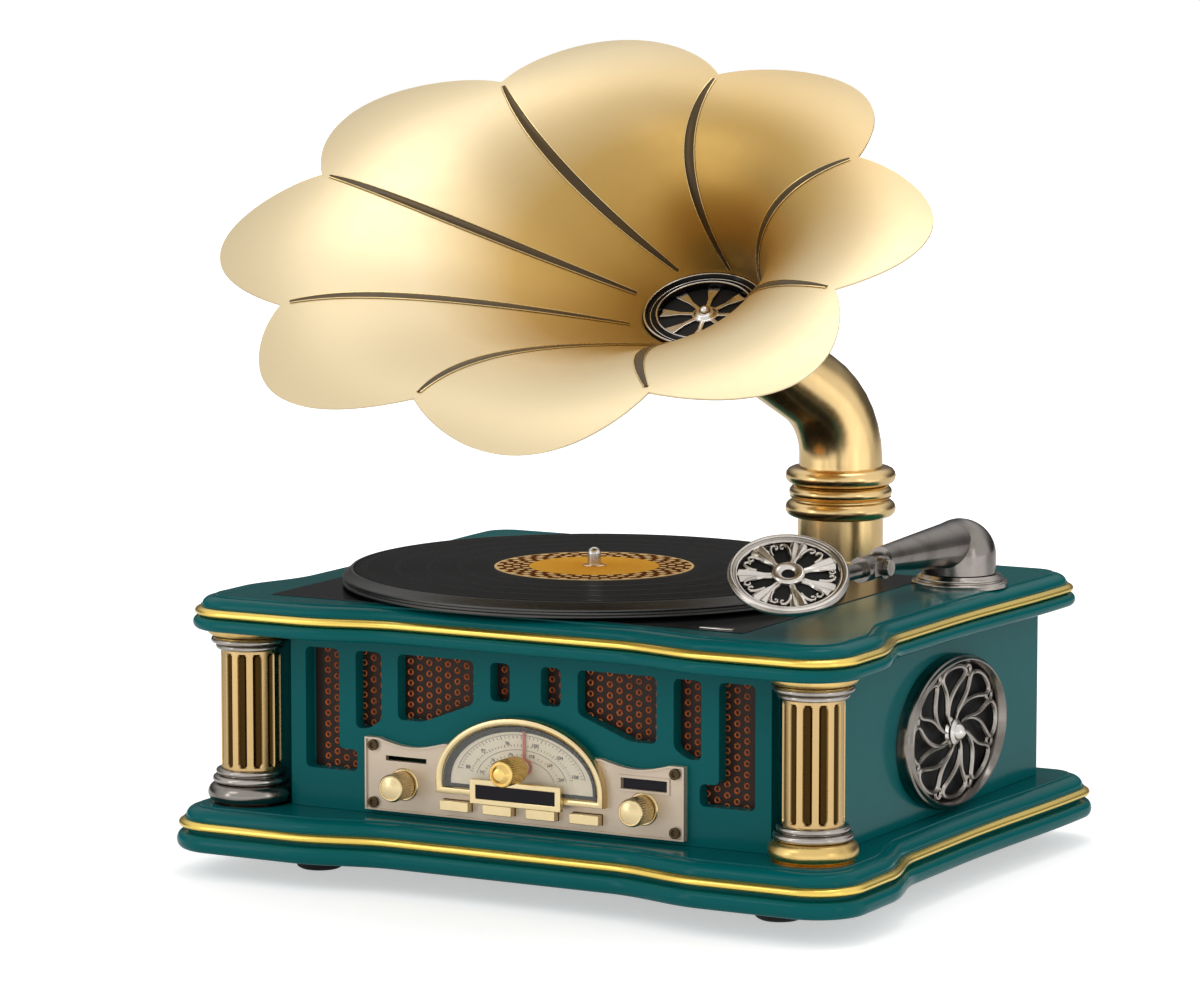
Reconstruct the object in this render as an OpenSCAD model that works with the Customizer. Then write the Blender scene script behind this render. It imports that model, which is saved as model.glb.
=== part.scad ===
// Horn gramophone with a built-in radio: moulded cabinet with four-lobed boards, front columns,
// belt-driven turntable, swinging tonearm with a tilting soundbox, and an eight-petal flower horn.
// Millimetres. X to the right, Y to the back, Z up. The frame stands on the feet, and its origin
// lies below the middle of the whole outline, horn included.

/* [Cabinet] */
// How far the cabinet's own zero line lies behind the origin
cabinet_y = 14; // [10:0.1:22]
// Half the width of the box between its side walls
box_half_w = 165; // [160:1:168]
// Depth from the cabinet's zero line to the outside of the rear wall
box_rear = 143; // [136:1:148]
// Depth from the cabinet's zero line to the face of the front panel
box_front = 117.5; // [112:0.5:120]
// Half the width of the front panel, between the column recesses
panel_half_w = 138.5; // [134:0.5:139]
// Depth of each column recess behind the front panel's face
recess_d = 23.5; // [20:0.5:26]
// Thickness of the side walls
side_wall = 10; // [6:0.5:14]
// Thickness of the front panel
front_wall = 8; // [5:0.5:10]
// Thickness of the rear wall
rear_wall = 6; // [4:0.5:10]
// Height of the walls between the two boards
wall_h = 91.5; // [86:0.5:100]

/* [Boards] */
// Height of the rubber feet
foot_h = 13.5; // [9:0.5:18]
// Radius of a rubber foot at its top
foot_r = 13; // [9:0.5:16]
// Half the distance between the feet, across
foot_x = 133.5; // [110:0.5:145]
// Feet in front of the cabinet's zero line
foot_front = 98; // [80:1:115]
// Feet behind the cabinet's zero line
foot_rear = 112; // [90:1:130]
// Thickness of the base board
base_t = 22.5; // [20:0.5:26]
// Thickness of the top board
top_t = 17.5; // [16:0.5:21]
// Height of the gilt bead
bead_h = 5.2; // [4:0.1:6]
// Depth of the gilt bead from its seat to its crown
bead_d = 5; // [3.5:0.1:6]
// Half the width of the top board at its front ears
top_ear_w = 187; // [186:0.5:189]
// Half the width of the top board at its waist
top_waist_w = 175.5; // [174:0.5:178]
// Half the width of the top board at its rear corners
top_rear_w = 181; // [179:0.5:184]
// Top board from the zero line to the middle of its front edge
top_front = 136; // [133:0.5:139]
// Top board from the zero line to its front ears
top_ear_front = 146; // [144:0.5:149]
// Top board from the zero line to its rear edge
top_rear = 165; // [163:0.5:168]
// Radius of the boards' rear corners
rear_round = 22; // [15:1:40]
// How much further the base board reaches than the top board at the ears
base_grow = 6.8; // [5:0.1:9]

/* [Columns] */
// Column axis from the cabinet's middle
column_x = 162; // [160:0.5:163]
// Column axis in front of the zero line
column_y = 118.8; // [117:0.1:120]
// Radius of a column's shaft
shaft_r = 15.4; // [13:0.1:17]
// Number of flutes round a column
flutes = 12; // [8:1:16]
// Width of a flute
flute_w = 4.6; // [3:0.1:6]
// Radius of a column's widest rings
ring_r = 22.6; // [20:0.1:23]
// Height of a column's base
column_base_h = 17.5; // [14:0.5:22]
// Height of a column's capital
capital_h = 11; // [9:0.5:16]

/* [Front openings] */
// Lower edge of the long side openings
tall_z0 = 56.5; // [54:0.5:60]
// Top edge of all front openings
open_top = 119.2; // [112:0.1:121]
// Radius of the openings' corners
open_r = 3; // [1:0.1:3.4]

/* [Radio] */
// Half the width of the radio's face plate
plate_half_w = 92; // [88:0.5:96]
// Lower edge of the face plate
plate_z0 = 38.5; // [38:0.1:40]
// Height of the face plate
plate_h = 37.5; // [36:0.5:40]
// Thickness of the face plate
plate_t = 3; // [2:0.1:4]
// Half the width of the dial's arch
dial_w = 48.5; // [45:0.5:52]
// Rise of the dial's arch above its centre
dial_h = 35.3; // [32:0.1:38]
// Height of the dial's centre
dial_z = 58; // [57:0.5:60]
// Width of the dial's rim
dial_rim = 4.2; // [3:0.1:5]
// How far the dial's rim stands out from the face plate
dial_proud = 5; // [3:0.5:7]
// Tuning shaft from the middle
tune_x = 2; // [0:0.5:6]
// Height of the tuning shaft
tune_z = 68.5; // [66:0.1:70]
// Radius of the tuning knob
tune_r = 6.8; // [5:0.1:8]
// Half the distance between the two small knobs
knob_x = 69; // [66:0.5:74]
// Height of the small knobs
knob_z = 53; // [51:0.5:55]
// Radius of a small knob
knob_r = 7; // [5:0.1:8]
// How far a small knob stands out
knob_l = 14; // [9:0.5:18]
// Distance between neighbouring push buttons
button_pitch = 25; // [22:0.5:26]
// Width of a push button
button_w = 16.5; // [12:0.5:18]
// Height of a push button
button_h = 5; // [4:0.1:5.5]
// Height of the row of buttons
button_z = 45.2; // [44.5:0.1:45.6]
// Travel of a push button
button_travel = 1.6; // [1:0.1:2]

/* [Turntable] */
// Turntable axis to the left of the middle
table_x = 20.5; // [18:0.5:22]
// Turntable axis in front of the zero line
table_y = 8; // [6:0.5:9]
// Radius of the platter
platter_r = 131; // [130:0.1:131.2]
// Radius of the record
record_r = 125; // [120:0.5:125.2]
// Thickness of the record
record_t = 1.5; // [1:0.1:2]
// Radius of the record's label
label_r = 52; // [45:0.5:55]
// Radius of the record spindle
spindle_r = 3.6; // [3.3:0.05:3.7]
// Height of the platter
platter_h = 6.6; // [6:0.1:7]
// Radius of the drive ring under the platter
drive_r = 55; // [45:1:65]
// Radius of the motor pulley
pulley_r = 6; // [4:0.5:9]
// Distance between the platter's axis and the motor's
motor_reach = 88; // [80:1:95]
// Width of the deck plate
deck_w = 272; // [262:1:276]
// Depth of the deck plate
deck_d = 218; // [200:1:222]
// Thickness of the deck plate
deck_t = 4; // [3:0.5:5]

/* [Tonearm] */
// Tonearm pivot from the middle
arm_x = 147.6; // [146:0.1:149]
// Tonearm pivot behind the zero line
arm_y = 81; // [78:0.5:84]
// Radius of the tonearm's elbow
elbow_r = 18.8; // [16:0.1:20]
// Distance from the pivot to the tilting joint
arm_l = 97; // [92:0.5:104]
// Radius of the tonearm's thin end
arm_tip_r = 6.3; // [5.6:0.1:7.5]
// Radius of the soundbox
box_r = 30; // [27:0.5:32]
// Distance from the tonearm pivot to the soundbox's middle
box_reach = 188; // [184:0.5:190]
// Height of the soundbox's middle above the deck
box_up = 30; // [29.6:0.1:33]
// Tilt of the soundbox's face from level
box_tilt = 31.3; // [25:0.1:32]

/* [Horn] */
// Post axis to the right of the middle
post_x = 55.5; // [54:0.5:56]
// Post axis behind the zero line
post_y = 128; // [127.5:0.5:130]
// Radius of the post
post_r = 22.9; // [20:0.1:23.2]
// Height of the post's collar above the deck
collar_z = 42; // [38:0.5:46]
// Radius of the collar's beads
bead_r = 29.6; // [27:0.1:31]
// Bend radius of the elbow's centre line
bend_r = 46; // [40:1:50]
// Angle that the elbow bends through
bend_a = 58; // [50:1:62]
// Straight length between the bend and the throat
neck_l = 85; // [75:1:95]
// Radius of the throat
throat_r = 32.8; // [30:0.1:35]
// Radius of the bell at its seams
bell_r = 152.7; // [140:0.5:156]
// Depth of the bell along its axis
bell_d = 84.6; // [75:0.1:95]
// How far the bell's rim is set over sideways
bell_shift = 69.4; // [55:0.1:75]
// Reach of a petal's tip from the bell's axis
petal_tip = 178; // [172:0.5:180]
// Thickness of the horn's sheet metal
sheet_t = 1.2; // [0.8:0.1:2]
// Width of a seam between two petals
seam_w = 5; // [3:0.1:7]

/* [Hidden] */
$fn = 64;

// Clearances
run = 0.05;
gap = 0.3;
eps = 0.01;

// Levels
base_z = foot_h;
base_top = base_z + base_t;
top_z = base_top + wall_h;
deck_z = top_z + top_t;
base_bead_z = base_z + 13;
top_bead_z = top_z + 9.1;

// Colours
teal = [0.02, 0.36, 0.36];
gilt = [0.90, 0.72, 0.25];
pewter = [0.45, 0.42, 0.38];
bronze = [0.55, 0.45, 0.25];
champagne = [0.88, 0.80, 0.58];
brass = [0.78, 0.58, 0.25];
black = [0.05, 0.05, 0.05];
plate_tone = [0.75, 0.66, 0.52];

function unit(v) = v / norm(v);
function flip(pts) = [for (i = [len(pts) - 1 : -1 : 0]) [-pts[i][0], pts[i][1]]];

// Boards: half an outline runs from the middle of the front to the middle of the back
lobe_x0 = 62;
lobe_x1 = 118;
waist_y0 = -99;
waist_y1 = -50;
flare_y0 = 4;
function half_board(ear_w, waist_w, rear_w, front, ear_front, rear, ear_r, rear_r) = concat(
    [[0, -front]],
    [for (i = [0 : 6]) let (u = i / 6)
        [lobe_x0 + (lobe_x1 - lobe_x0) * u, -front - (ear_front - front) * (1 - cos(180 * u)) / 2]],
    [for (i = [0 : 6]) let (a = -90 + 15 * i) [ear_w - ear_r + ear_r * cos(a), -ear_front + ear_r + ear_r * sin(a)]],
    [for (i = [0 : 7]) let (u = i / 7)
        [ear_w - (ear_w - waist_w) * (1 - cos(180 * u)) / 2, waist_y0 + (waist_y1 - waist_y0) * u]],
    [for (i = [0 : 5]) let (u = i / 5)
        [waist_w + (rear_w - waist_w) * (1 - cos(180 * u)) / 2, flare_y0 + (rear - rear_r - flare_y0) * u]],
    [for (i = [1 : 6]) let (a = 15 * i) [rear_w - rear_r + rear_r * cos(a), rear - rear_r + rear_r * sin(a)]],
    [[0, rear]]);
function closed(half) = concat(half, [for (i = [len(half) - 2 : -1 : 1]) [-half[i][0], half[i][1]]]);
function grown(pts, o) = let (n = len(pts)) [for (i = [0 : n - 1])
    let (a = pts[(i + n - 1) % n], b = pts[(i + 1) % n], t = unit(b - a)) pts[i] + o * [t[1], -t[0]]];

base_ear_w = top_ear_w + base_grow;
ear_round = 24;
top_outline = closed(half_board(top_ear_w, top_waist_w, top_rear_w, top_front, top_ear_front, top_rear, ear_round, rear_round));
base_outline = closed(half_board(base_ear_w, top_waist_w + 8.2, top_rear_w + 7.5, top_front + base_grow,
                                 top_ear_front + base_grow + 0.7, top_rear + 7.5, ear_round + 1, rear_round));
bead_seat = -3;
bead_r_z = bead_h / 2;

// A closed profile, given as [reach, height] counter-clockwise, that runs all the way round an outline
module ring_round(outline, prof) {
    n = len(outline);
    m = len(prof);
    pts = [for (p = prof) each [for (q = grown(outline, p[0])) [q[0], q[1], p[1]]]];
    faces = [for (j = [0 : m - 1]) for (i = [0 : n - 1]) let (k = (j + 1) % m) each
        [[j * n + i, k * n + i, k * n + (i + 1) % n], [j * n + i, k * n + (i + 1) % n, j * n + (i + 1) % n]]];
    polyhedron(pts, faces, convexity = 6);
}

// A bead that lies in its seat
module bead_round(outline, z) ring_round(outline, [for (a = [0 : 30 : 180]) [bead_seat + bead_d * sin(a), z - bead_r_z * cos(a)]]);

// A board's edge from the bottom up: round roll, shadow groove, bead seat, ovolo and a last small step
function board_profile(z0, z1, bead_z, roll_h) = concat(
    [for (a = [-90 : 30 : 90]) [3 * cos(a), z0 + roll_h / 2 + roll_h / 2 * sin(a)]],
    [[bead_seat, z0 + roll_h], [bead_seat, bead_z + bead_r_z], [-1.2, bead_z + bead_r_z], [-1.2, bead_z + bead_r_z + 0.6]],
    [for (a = [90 : -30 : 0]) [-8.2 + 6.4 * sin(a), z1 - 0.8 - (z1 - 1.4 - bead_z - bead_r_z) * (1 - cos(a))]],
    [[-9, z1 - 0.8], [-9, z1]]);

module at_cabinet() translate([0, cabinet_y, 0]) children();

// A board's moulded frame, and the flat panel that fills it
frame_in = -14;
module frame_round(outline, z0, z1, bead_z, roll_h)
    ring_round(outline, concat([[frame_in, z0]], board_profile(z0, z1, bead_z, roll_h), [[frame_in, z1]]));
module base_board() color(teal) at_cabinet() frame_round(base_outline, base_z, base_top, base_bead_z, 8.6);
module bottom_panel() color(teal) at_cabinet()
    translate([0, 0, base_z]) linear_extrude(base_t) polygon(grown(base_outline, frame_in));

module base_gilt_bead() color(gilt) at_cabinet() bead_round(base_outline, base_bead_z);
module top_gilt_bead() color(gilt) at_cabinet() bead_round(top_outline, top_bead_z);

module rubber_feet() color(black) at_cabinet()
    for (x = [-foot_x, foot_x]) for (y = [-foot_front, foot_rear]) translate([x, y, 0])
        rotate_extrude() polygon([[0, 0], [foot_r - 3, 0], [foot_r - 1, 1.2], [foot_r, 4], [foot_r, foot_h], [0, foot_h]]);

// Deck opening, plate and machinery places
plate_x = -table_x + 8.5;
plate_y0 = -120.5;
deck_lip = 9;
tab = [-table_x, -table_y];
motor_dir = [cos(205), sin(205)];
motor_at = tab + motor_reach * motor_dir;
post = [post_x, post_y];
arm = [arm_x, arm_y];
wire_r = 6;

module deck_outline(inset) translate([plate_x - deck_w / 2 + inset, plate_y0 + inset])
    square([deck_w - 2 * inset, deck_d - 2 * inset]);

plate_proud = 0.4;
module top_board() color(teal) at_cabinet() frame_round(top_outline, top_z, deck_z, top_bead_z, 6.5);
module deck_board() color(teal) at_cabinet() difference() {
    translate([0, 0, top_z]) linear_extrude(top_t) polygon(grown(top_outline, frame_in));
    translate([0, 0, deck_z + plate_proud - deck_t]) linear_extrude(deck_t) deck_outline(0);
    translate([0, 0, top_z - eps]) linear_extrude(top_t) deck_outline(deck_lip);
    translate([post[0], post[1], top_z - eps]) cylinder(r = 15, h = top_t + 2 * eps);
    translate([arm[0], arm[1], top_z - eps]) cylinder(r = wire_r, h = top_t + 2 * eps);
}

bush_r = 9;
journal_r = 4;
shaft_hole = 3;
module deck_plate() color(black) at_cabinet() difference() {
    translate([0, 0, deck_z + plate_proud - deck_t]) linear_extrude(deck_t) deck_outline(0);
    translate([tab[0], tab[1], deck_z - deck_t - 1]) cylinder(r = journal_r + 1, h = deck_t + 3);
    translate([motor_at[0], motor_at[1], deck_z - deck_t - 1]) cylinder(r = shaft_hole, h = deck_t + 3);
    translate([arm[0], arm[1], deck_z - deck_t]) cylinder(r = elbow_r + 6.5, h = 2 * deck_t);
}

// Walls of the box
recess_y = -box_front + recess_d;
module side_panel(s) color(teal) at_cabinet() translate([0, 0, base_top]) difference() {
    linear_extrude(wall_h) polygon([for (p = [
        [panel_half_w - side_wall, -box_front + front_wall], [panel_half_w, -box_front + front_wall], [panel_half_w, recess_y],
        [box_half_w, recess_y], [box_half_w, box_rear], [box_half_w - side_wall, box_rear],
        [box_half_w - side_wall, recess_y + side_wall], [panel_half_w - side_wall, recess_y + side_wall]]) [s * p[0], p[1]]]);
    translate([s * (box_half_w - side_wall / 2), rosette_y, rosette_z - base_top]) rotate([0, 90, 0])
        cylinder(r = speaker_r - 2, h = side_wall * 2, center = true);
}
module left_side_panel() side_panel(-1);
module right_side_panel() side_panel(1);

module rear_panel() color(teal) at_cabinet() difference() {
    translate([-box_half_w + side_wall, box_rear - rear_wall, base_top]) cube([2 * (box_half_w - side_wall), rear_wall, wall_h]);
    translate([socket_x, box_rear - rear_wall - 1, socket_z]) rotate([-90, 0, 0]) cylinder(r = inlet_r, h = rear_wall + 2);
    for (i = [0 : 5]) translate([-60, box_rear - rear_wall - 1, 60 + 8 * i]) cube([70, rear_wall + 2, 3]);
}

// Corners of a polygon rounded with a short curve
function soft(pts, r) = let (n = len(pts)) [for (i = [0 : n - 1])
    let (a = pts[(i + n - 1) % n], p = pts[i], b = pts[(i + 1) % n], u = p + r * unit(a - p), v = p + r * unit(b - p))
    each [for (t = [0, 0.3, 0.7, 1]) (1 - t) * (1 - t) * u + 2 * t * (1 - t) * p + t * t * v]];

tall_x = [109.5, 129.5];
foot_slot_x = 98.8;
foot_slot_z = 67.7;
narrow_x = [84.2, 99.5];
narrow_z0 = 79.3;
wide_x = [30, 74.5];
wide_z = [85.5, 97];
small_x = [9, 20.2];
small_z0 = 99.6;
function openings() = [
    [[foot_slot_x, tall_z0], [tall_x[1], tall_z0], [tall_x[1], open_top], [tall_x[0], open_top], [tall_x[0], foot_slot_z],
     [foot_slot_x, foot_slot_z]],
    [[narrow_x[0], narrow_z0 + 5], [narrow_x[0] + 8, narrow_z0], [narrow_x[1], narrow_z0], [narrow_x[1], open_top],
     [narrow_x[0], open_top]],
    [[wide_x[0], wide_z[1]], [60, wide_z[0]], [wide_x[1], wide_z[0]], [wide_x[1], open_top], [wide_x[0], open_top]],
    [[small_x[0], small_z0], [small_x[1], small_z0], [small_x[1], open_top], [small_x[0], open_top]]];

// Draws a flat shape, given in X and Z, as a slab whose front face is at y
module upright(y, t) translate([0, y + t, 0]) rotate([90, 0, 0]) linear_extrude(t) children();

radio_cut = [84, 34];
module front_panel() color(teal) at_cabinet() difference() {
    translate([-panel_half_w, -box_front, base_top]) cube([2 * panel_half_w, front_wall, wall_h]);
    for (s = [-1, 1]) for (o = openings()) upright(-box_front - 1, front_wall + 2)
        polygon([for (p = soft(o, open_r)) [s * p[0], p[1]]]);
    translate([-radio_cut[0], -box_front - 1, plate_z0 + 3]) cube([2 * radio_cut[0], front_wall + 2, radio_cut[1] - 3]);
}

mesh_t = 1;
module grille_mesh() color([0.12, 0.07, 0.05]) at_cabinet()
    for (s = [-1, 1]) upright(-box_front + front_wall, mesh_t)
        polygon([for (p = [[small_x[0] - 3, small_z0 - 3], [wide_x[0] - 4, plate_z0 + plate_h + 3], [tall_x[0] - 14, plate_z0 + plate_h + 3],
                 [foot_slot_x - 4, tall_z0 - 4], [panel_half_w - side_wall - gap, tall_z0 - 4],
                 [panel_half_w - side_wall - gap, open_top + 4], [small_x[0] - 3, open_top + 4]]) [s * p[0], p[1]]]);

// Columns
module both_columns() at_cabinet() for (s = [-1, 1]) translate([s * column_x, -column_y, 0]) children();
shaft_z0 = base_top + column_base_h;
shaft_z1 = top_z - capital_h;
module column_shafts() color(bronze) both_columns() translate([0, 0, shaft_z0]) difference() {
    cylinder(r = shaft_r, h = shaft_z1 - shaft_z0);
    for (i = [0 : flutes - 1]) rotate([0, 0, 360 * (i + 0.5) / flutes]) translate([shaft_r + 0.5, 0, 3])
        cylinder(r = flute_w / 2, h = shaft_z1 - shaft_z0 - 6, $fn = 24);
}
module column_capitals() color(gilt) both_columns() translate([0, 0, shaft_z1]) rotate_extrude() polygon([
    [0, 0], [shaft_r + 1, 0], [shaft_r + 2.6, 0.9], [shaft_r + 2.6, 1.8], [shaft_r + 1.6, 2.9], [shaft_r + 4.6, 3.4],
    [shaft_r + 5, 4.6], [shaft_r + 4.2, 5.6], [ring_r - 4, 5.8], [ring_r - 1.2, 7.4], [ring_r, 9.6], [ring_r, capital_h], [0, capital_h]]);
module column_bases() color(gilt) both_columns() translate([0, 0, base_top]) rotate_extrude() polygon(concat(
    [[0, 0], [ring_r - 0.6, 0]],
    [for (a = [-60 : 30 : 90]) [ring_r - 4.4 + 4.4 * cos(a), 5.2 + 5 * sin(a)]],
    [[ring_r - 5, 10.4], [ring_r - 2.2, 11.2], [ring_r - 2, 12.6], [ring_r - 3.2, 13.6], [ring_r - 5.4, 14], [ring_r - 3.8, 14.8],
     [ring_r - 3.8, 16], [shaft_r + 1, column_base_h], [0, column_base_h]]));

// Side rosettes: an oval ring, eight curled teardrops and a pointed boss
rosette_y = 28;
rosette_z = base_top + 41.5;
rosette_a = 60;
rosette_b = 39.5;
rosette_rim = 6.5;
rosette_d = 9;
speaker_r = 38;
function oval(a, b, n = 48) = [for (i = [0 : n - 1]) [a * cos(360 * i / n), b * sin(360 * i / n)]];
// A teardrop from near the boss out to the ring, curled to one side; w scales its width
function drop(w, r0, r1, n = 12) = [for (i = [0 : 2 * n - 1])
    let (u = i < n ? i / n : (2 * n - i) / n, s = i < n ? 1 : -1, r = r0 + (r1 - r0) * u,
         turn = 34 * (1 - u) * (1 - u) - 10, half = w * 19 * pow(sin(180 * pow(u, 1.4)), 0.8) + 0.5)
    [r * cos(turn + s * half), r * sin(turn + s * half)]];
module oval_scale(pts) polygon([for (p = pts) [p[0] * (rosette_a - rosette_rim + 1) / 32, p[1] * (rosette_b - rosette_rim + 1) / 32]]);
function turned(pts, a) = [for (p = pts) [p[0] * cos(a) - p[1] * sin(a), p[0] * sin(a) + p[1] * cos(a)]];
module rosette_flat() {
    difference() {
        union() for (i = [0 : 7]) oval_scale(turned(drop(1, 6, 32), 45 * i));
        for (i = [0 : 7]) oval_scale(turned(drop(0.78, 9, 30.4), 45 * i));
    }
}
module rosette(s) color(pewter) at_cabinet() translate([s * box_half_w, rosette_y, rosette_z]) rotate([90, 0, s * 90]) {
    difference() {
        union() {
            linear_extrude(rosette_d - 2.5) polygon(oval(rosette_a, rosette_b));
            linear_extrude(rosette_d) polygon(oval(rosette_a - 2, rosette_b - 2));
        }
        translate([0, 0, -1]) linear_extrude(rosette_d + 2) polygon(oval(rosette_a - rosette_rim, rosette_b - rosette_rim));
    }
    translate([0, 0, 2]) linear_extrude(2.5) rosette_flat();
    cylinder(r1 = 7.5, r2 = 5, h = 7);
    translate([0, 0, 7]) cylinder(r1 = 5, r2 = 1, h = 4);
}
module left_rosette() rosette(-1);
module right_rosette() rosette(1);

module side_speakers() color(black) at_cabinet() for (s = [-1, 1])
    translate([s * (box_half_w - side_wall), rosette_y, rosette_z]) rotate([0, -s * 90, 0]) {
        cylinder(r = speaker_r, h = 2.5);
        translate([0, 0, 2.5]) cylinder(r1 = speaker_r - 4, r2 = 18, h = 14);
        translate([0, 0, 16.5]) cylinder(r = 20, h = 9);
    }

// Turntable
platter_z = deck_z + plate_proud + 1;
platter_top = platter_z + platter_h;
disc_t = 2.8;
rim_up = 1.3;
module at_table() at_cabinet() translate([tab[0], tab[1], 0]) children();
module platter() color(black) at_table() translate([0, 0, platter_z]) difference() {
    rotate_extrude($fn = 96) polygon([
        [0, platter_h - disc_t], [drive_r - 5, platter_h - disc_t], [drive_r - 5, 0.5], [drive_r, 0.5], [drive_r, platter_h - disc_t],
        [platter_r - 4, platter_h - disc_t], [platter_r - 4, 0], [platter_r, 0], [platter_r, 1.6], [platter_r - 1, 2.2],
        [platter_r - 1, 3], [platter_r, 3.5], [platter_r, 4.6], [platter_r - 4.4, platter_h + rim_up],
        [record_r + 0.4, platter_h + rim_up], [record_r + 0.4, platter_h], [0, platter_h]]);
    translate([0, 0, -1]) cylinder(r = seat_r + run, h = platter_h + 2);
}
record_top = platter_top + record_t;
pin_up = 6.5;
// The spindle is thicker in the platter and slimmer in the record than at its free end
seat_r = spindle_r + 0.6;
relief_r = spindle_r - 0.3;
module spindle() color([0.8, 0.8, 0.8]) at_table() {
    translate([0, 0, deck_z - 30]) cylinder(r = journal_r, h = platter_z + 1 - deck_z + 30);
    translate([0, 0, platter_z + 0.6]) cylinder(r = bush_r, h = platter_h - disc_t - 0.6);
    translate([0, 0, platter_z + 1]) cylinder(r = seat_r, h = platter_h - 1);
    translate([0, 0, platter_top - 1]) cylinder(r = relief_r, h = record_t + label_t + 2);
    translate([0, 0, record_top + label_t]) cylinder(r = spindle_r - run, h = pin_up - label_t);
    translate([0, 0, record_top + pin_up]) intersection() {
        sphere(r = spindle_r - run);
        cylinder(r = spindle_r + 1, h = spindle_r + 1);
    }
}
module record() color([0.03, 0.03, 0.03]) at_table() difference() {
    translate([0, 0, platter_top]) cylinder(r = record_r, h = record_t, $fn = 96);
    translate([0, 0, platter_top - 1]) cylinder(r = spindle_r + run, h = record_t + 2);
}
label_t = 0.2;
module record_label() color([0.9, 0.55, 0.15]) at_table() difference() {
    translate([0, 0, record_top]) cylinder(r = label_r, h = label_t, $fn = 96);
    translate([0, 0, record_top - 1]) cylinder(r = spindle_r + run, h = 2);
}
under_plate = deck_z + plate_proud - deck_t;
module bearing_bush() color(brass) at_table() difference() {
    union() {
        translate([0, 0, deck_z - 33]) cylinder(r = bush_r, h = under_plate - deck_z + 33);
        translate([0, 0, under_plate - 3]) cylinder(r = bush_r + 7, h = 3);
    }
    translate([0, 0, deck_z - 30 - gap]) cylinder(r = journal_r + run, h = 40);
}
motor_r = 17;
motor_h = 26;
motor_shaft_r = 1;
module motor() color([0.6, 0.6, 0.6]) at_cabinet() translate([motor_at[0], motor_at[1], under_plate]) difference() {
    translate([0, 0, -motor_h]) cylinder(r = motor_r, h = motor_h);
    translate([0, 0, -14]) cylinder(r = motor_shaft_r + run, h = 15);
}
belt_z = platter_z + 0.9;
belt_h = 2.4;
module motor_pulley() color(brass) at_cabinet() translate([motor_at[0], motor_at[1], 0]) {
    translate([0, 0, under_plate - 13]) cylinder(r = motor_shaft_r, h = platter_z - under_plate + 13.2);
    translate([0, 0, platter_z + 0.1]) cylinder(r = pulley_r, h = platter_h - disc_t - 0.6);
}
belt_t = 1;
module belt_loop(o) hull() {
    translate(tab) circle(r = drive_r + gap + o, $fn = 72);
    translate(motor_at) circle(r = pulley_r + gap + o, $fn = 32);
}
module drive_belt() color(black) at_cabinet() translate([0, 0, belt_z]) linear_extrude(belt_h) difference() {
    belt_loop(belt_t);
    belt_loop(0);
}

// Tonearm: it points from its pivot to the soundbox
box_side = -5.6;
arm_dir = unit([box_side, -box_reach]);
arm_turn = atan2(arm_dir[1], arm_dir[0]);
module at_arm() at_cabinet() translate([arm[0], arm[1], 0]) rotate([0, 0, arm_turn]) children();
flange_h = 6.5;
pivot_r = 8;
elbow_z = deck_z + 16;
tip_z = deck_z + 24.5;
cone_z = deck_z + 22;
module tonearm_flange() color(pewter) at_arm() {
    difference() {
        translate([0, 0, deck_z]) rotate_extrude() polygon([[0, 0], [elbow_r + 5.6, 0], [elbow_r + 6.2, 1], [elbow_r + 6.2, 2.2],
            [elbow_r + 5, 3], [elbow_r + 3, 3.3], [elbow_r + 3.6, 4.3], [elbow_r + 3.2, 5.6], [elbow_r + 1.8, flange_h], [0, flange_h]]);
        translate([0, 0, deck_z - 1]) cylinder(r = wire_r - 1.5, h = flange_h + 2);
    }
    difference() {
        translate([0, 0, deck_z + flange_h]) cylinder(r = pivot_r, h = 10);
        translate([0, 0, deck_z + flange_h - 1]) cylinder(r = wire_r - 1.5, h = 12);
    }
}
tube_z = deck_z + flange_h + gap;
taper_l = arm_l - 7;
tongue_w = 6;
hinge_z = tip_z - 3;
hinge_r = 2;
module tonearm_tube() color(pewter) at_arm() difference() {
    union() {
        translate([0, 0, tube_z]) cylinder(r = elbow_r, h = elbow_z - tube_z);
        translate([0, 0, elbow_z]) sphere(r = elbow_r);
        translate([0, 0, cone_z]) rotate([0, 90 - atan2(tip_z - cone_z, taper_l), 0])
            cylinder(r1 = elbow_r - 5.8, r2 = arm_tip_r, h = norm([taper_l, tip_z - cone_z]));
        translate([taper_l - 6, -tongue_w / 2, hinge_z - 4.5]) cube([13, tongue_w, 9]);
        translate([arm_l, tongue_w / 2, hinge_z]) rotate([90, 0, 0]) cylinder(r = 4.5, h = tongue_w);
    }
    translate([0, 0, tube_z - 2 * elbow_r]) cylinder(r = 2 * elbow_r, h = 2 * elbow_r);
    translate([0, 0, tube_z - 1]) cylinder(r = pivot_r + run, h = 11 + gap);
    translate([arm_l, tongue_w, hinge_z]) rotate([90, 0, 0]) cylinder(r = hinge_r + run, h = 2 * tongue_w);
}

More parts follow.
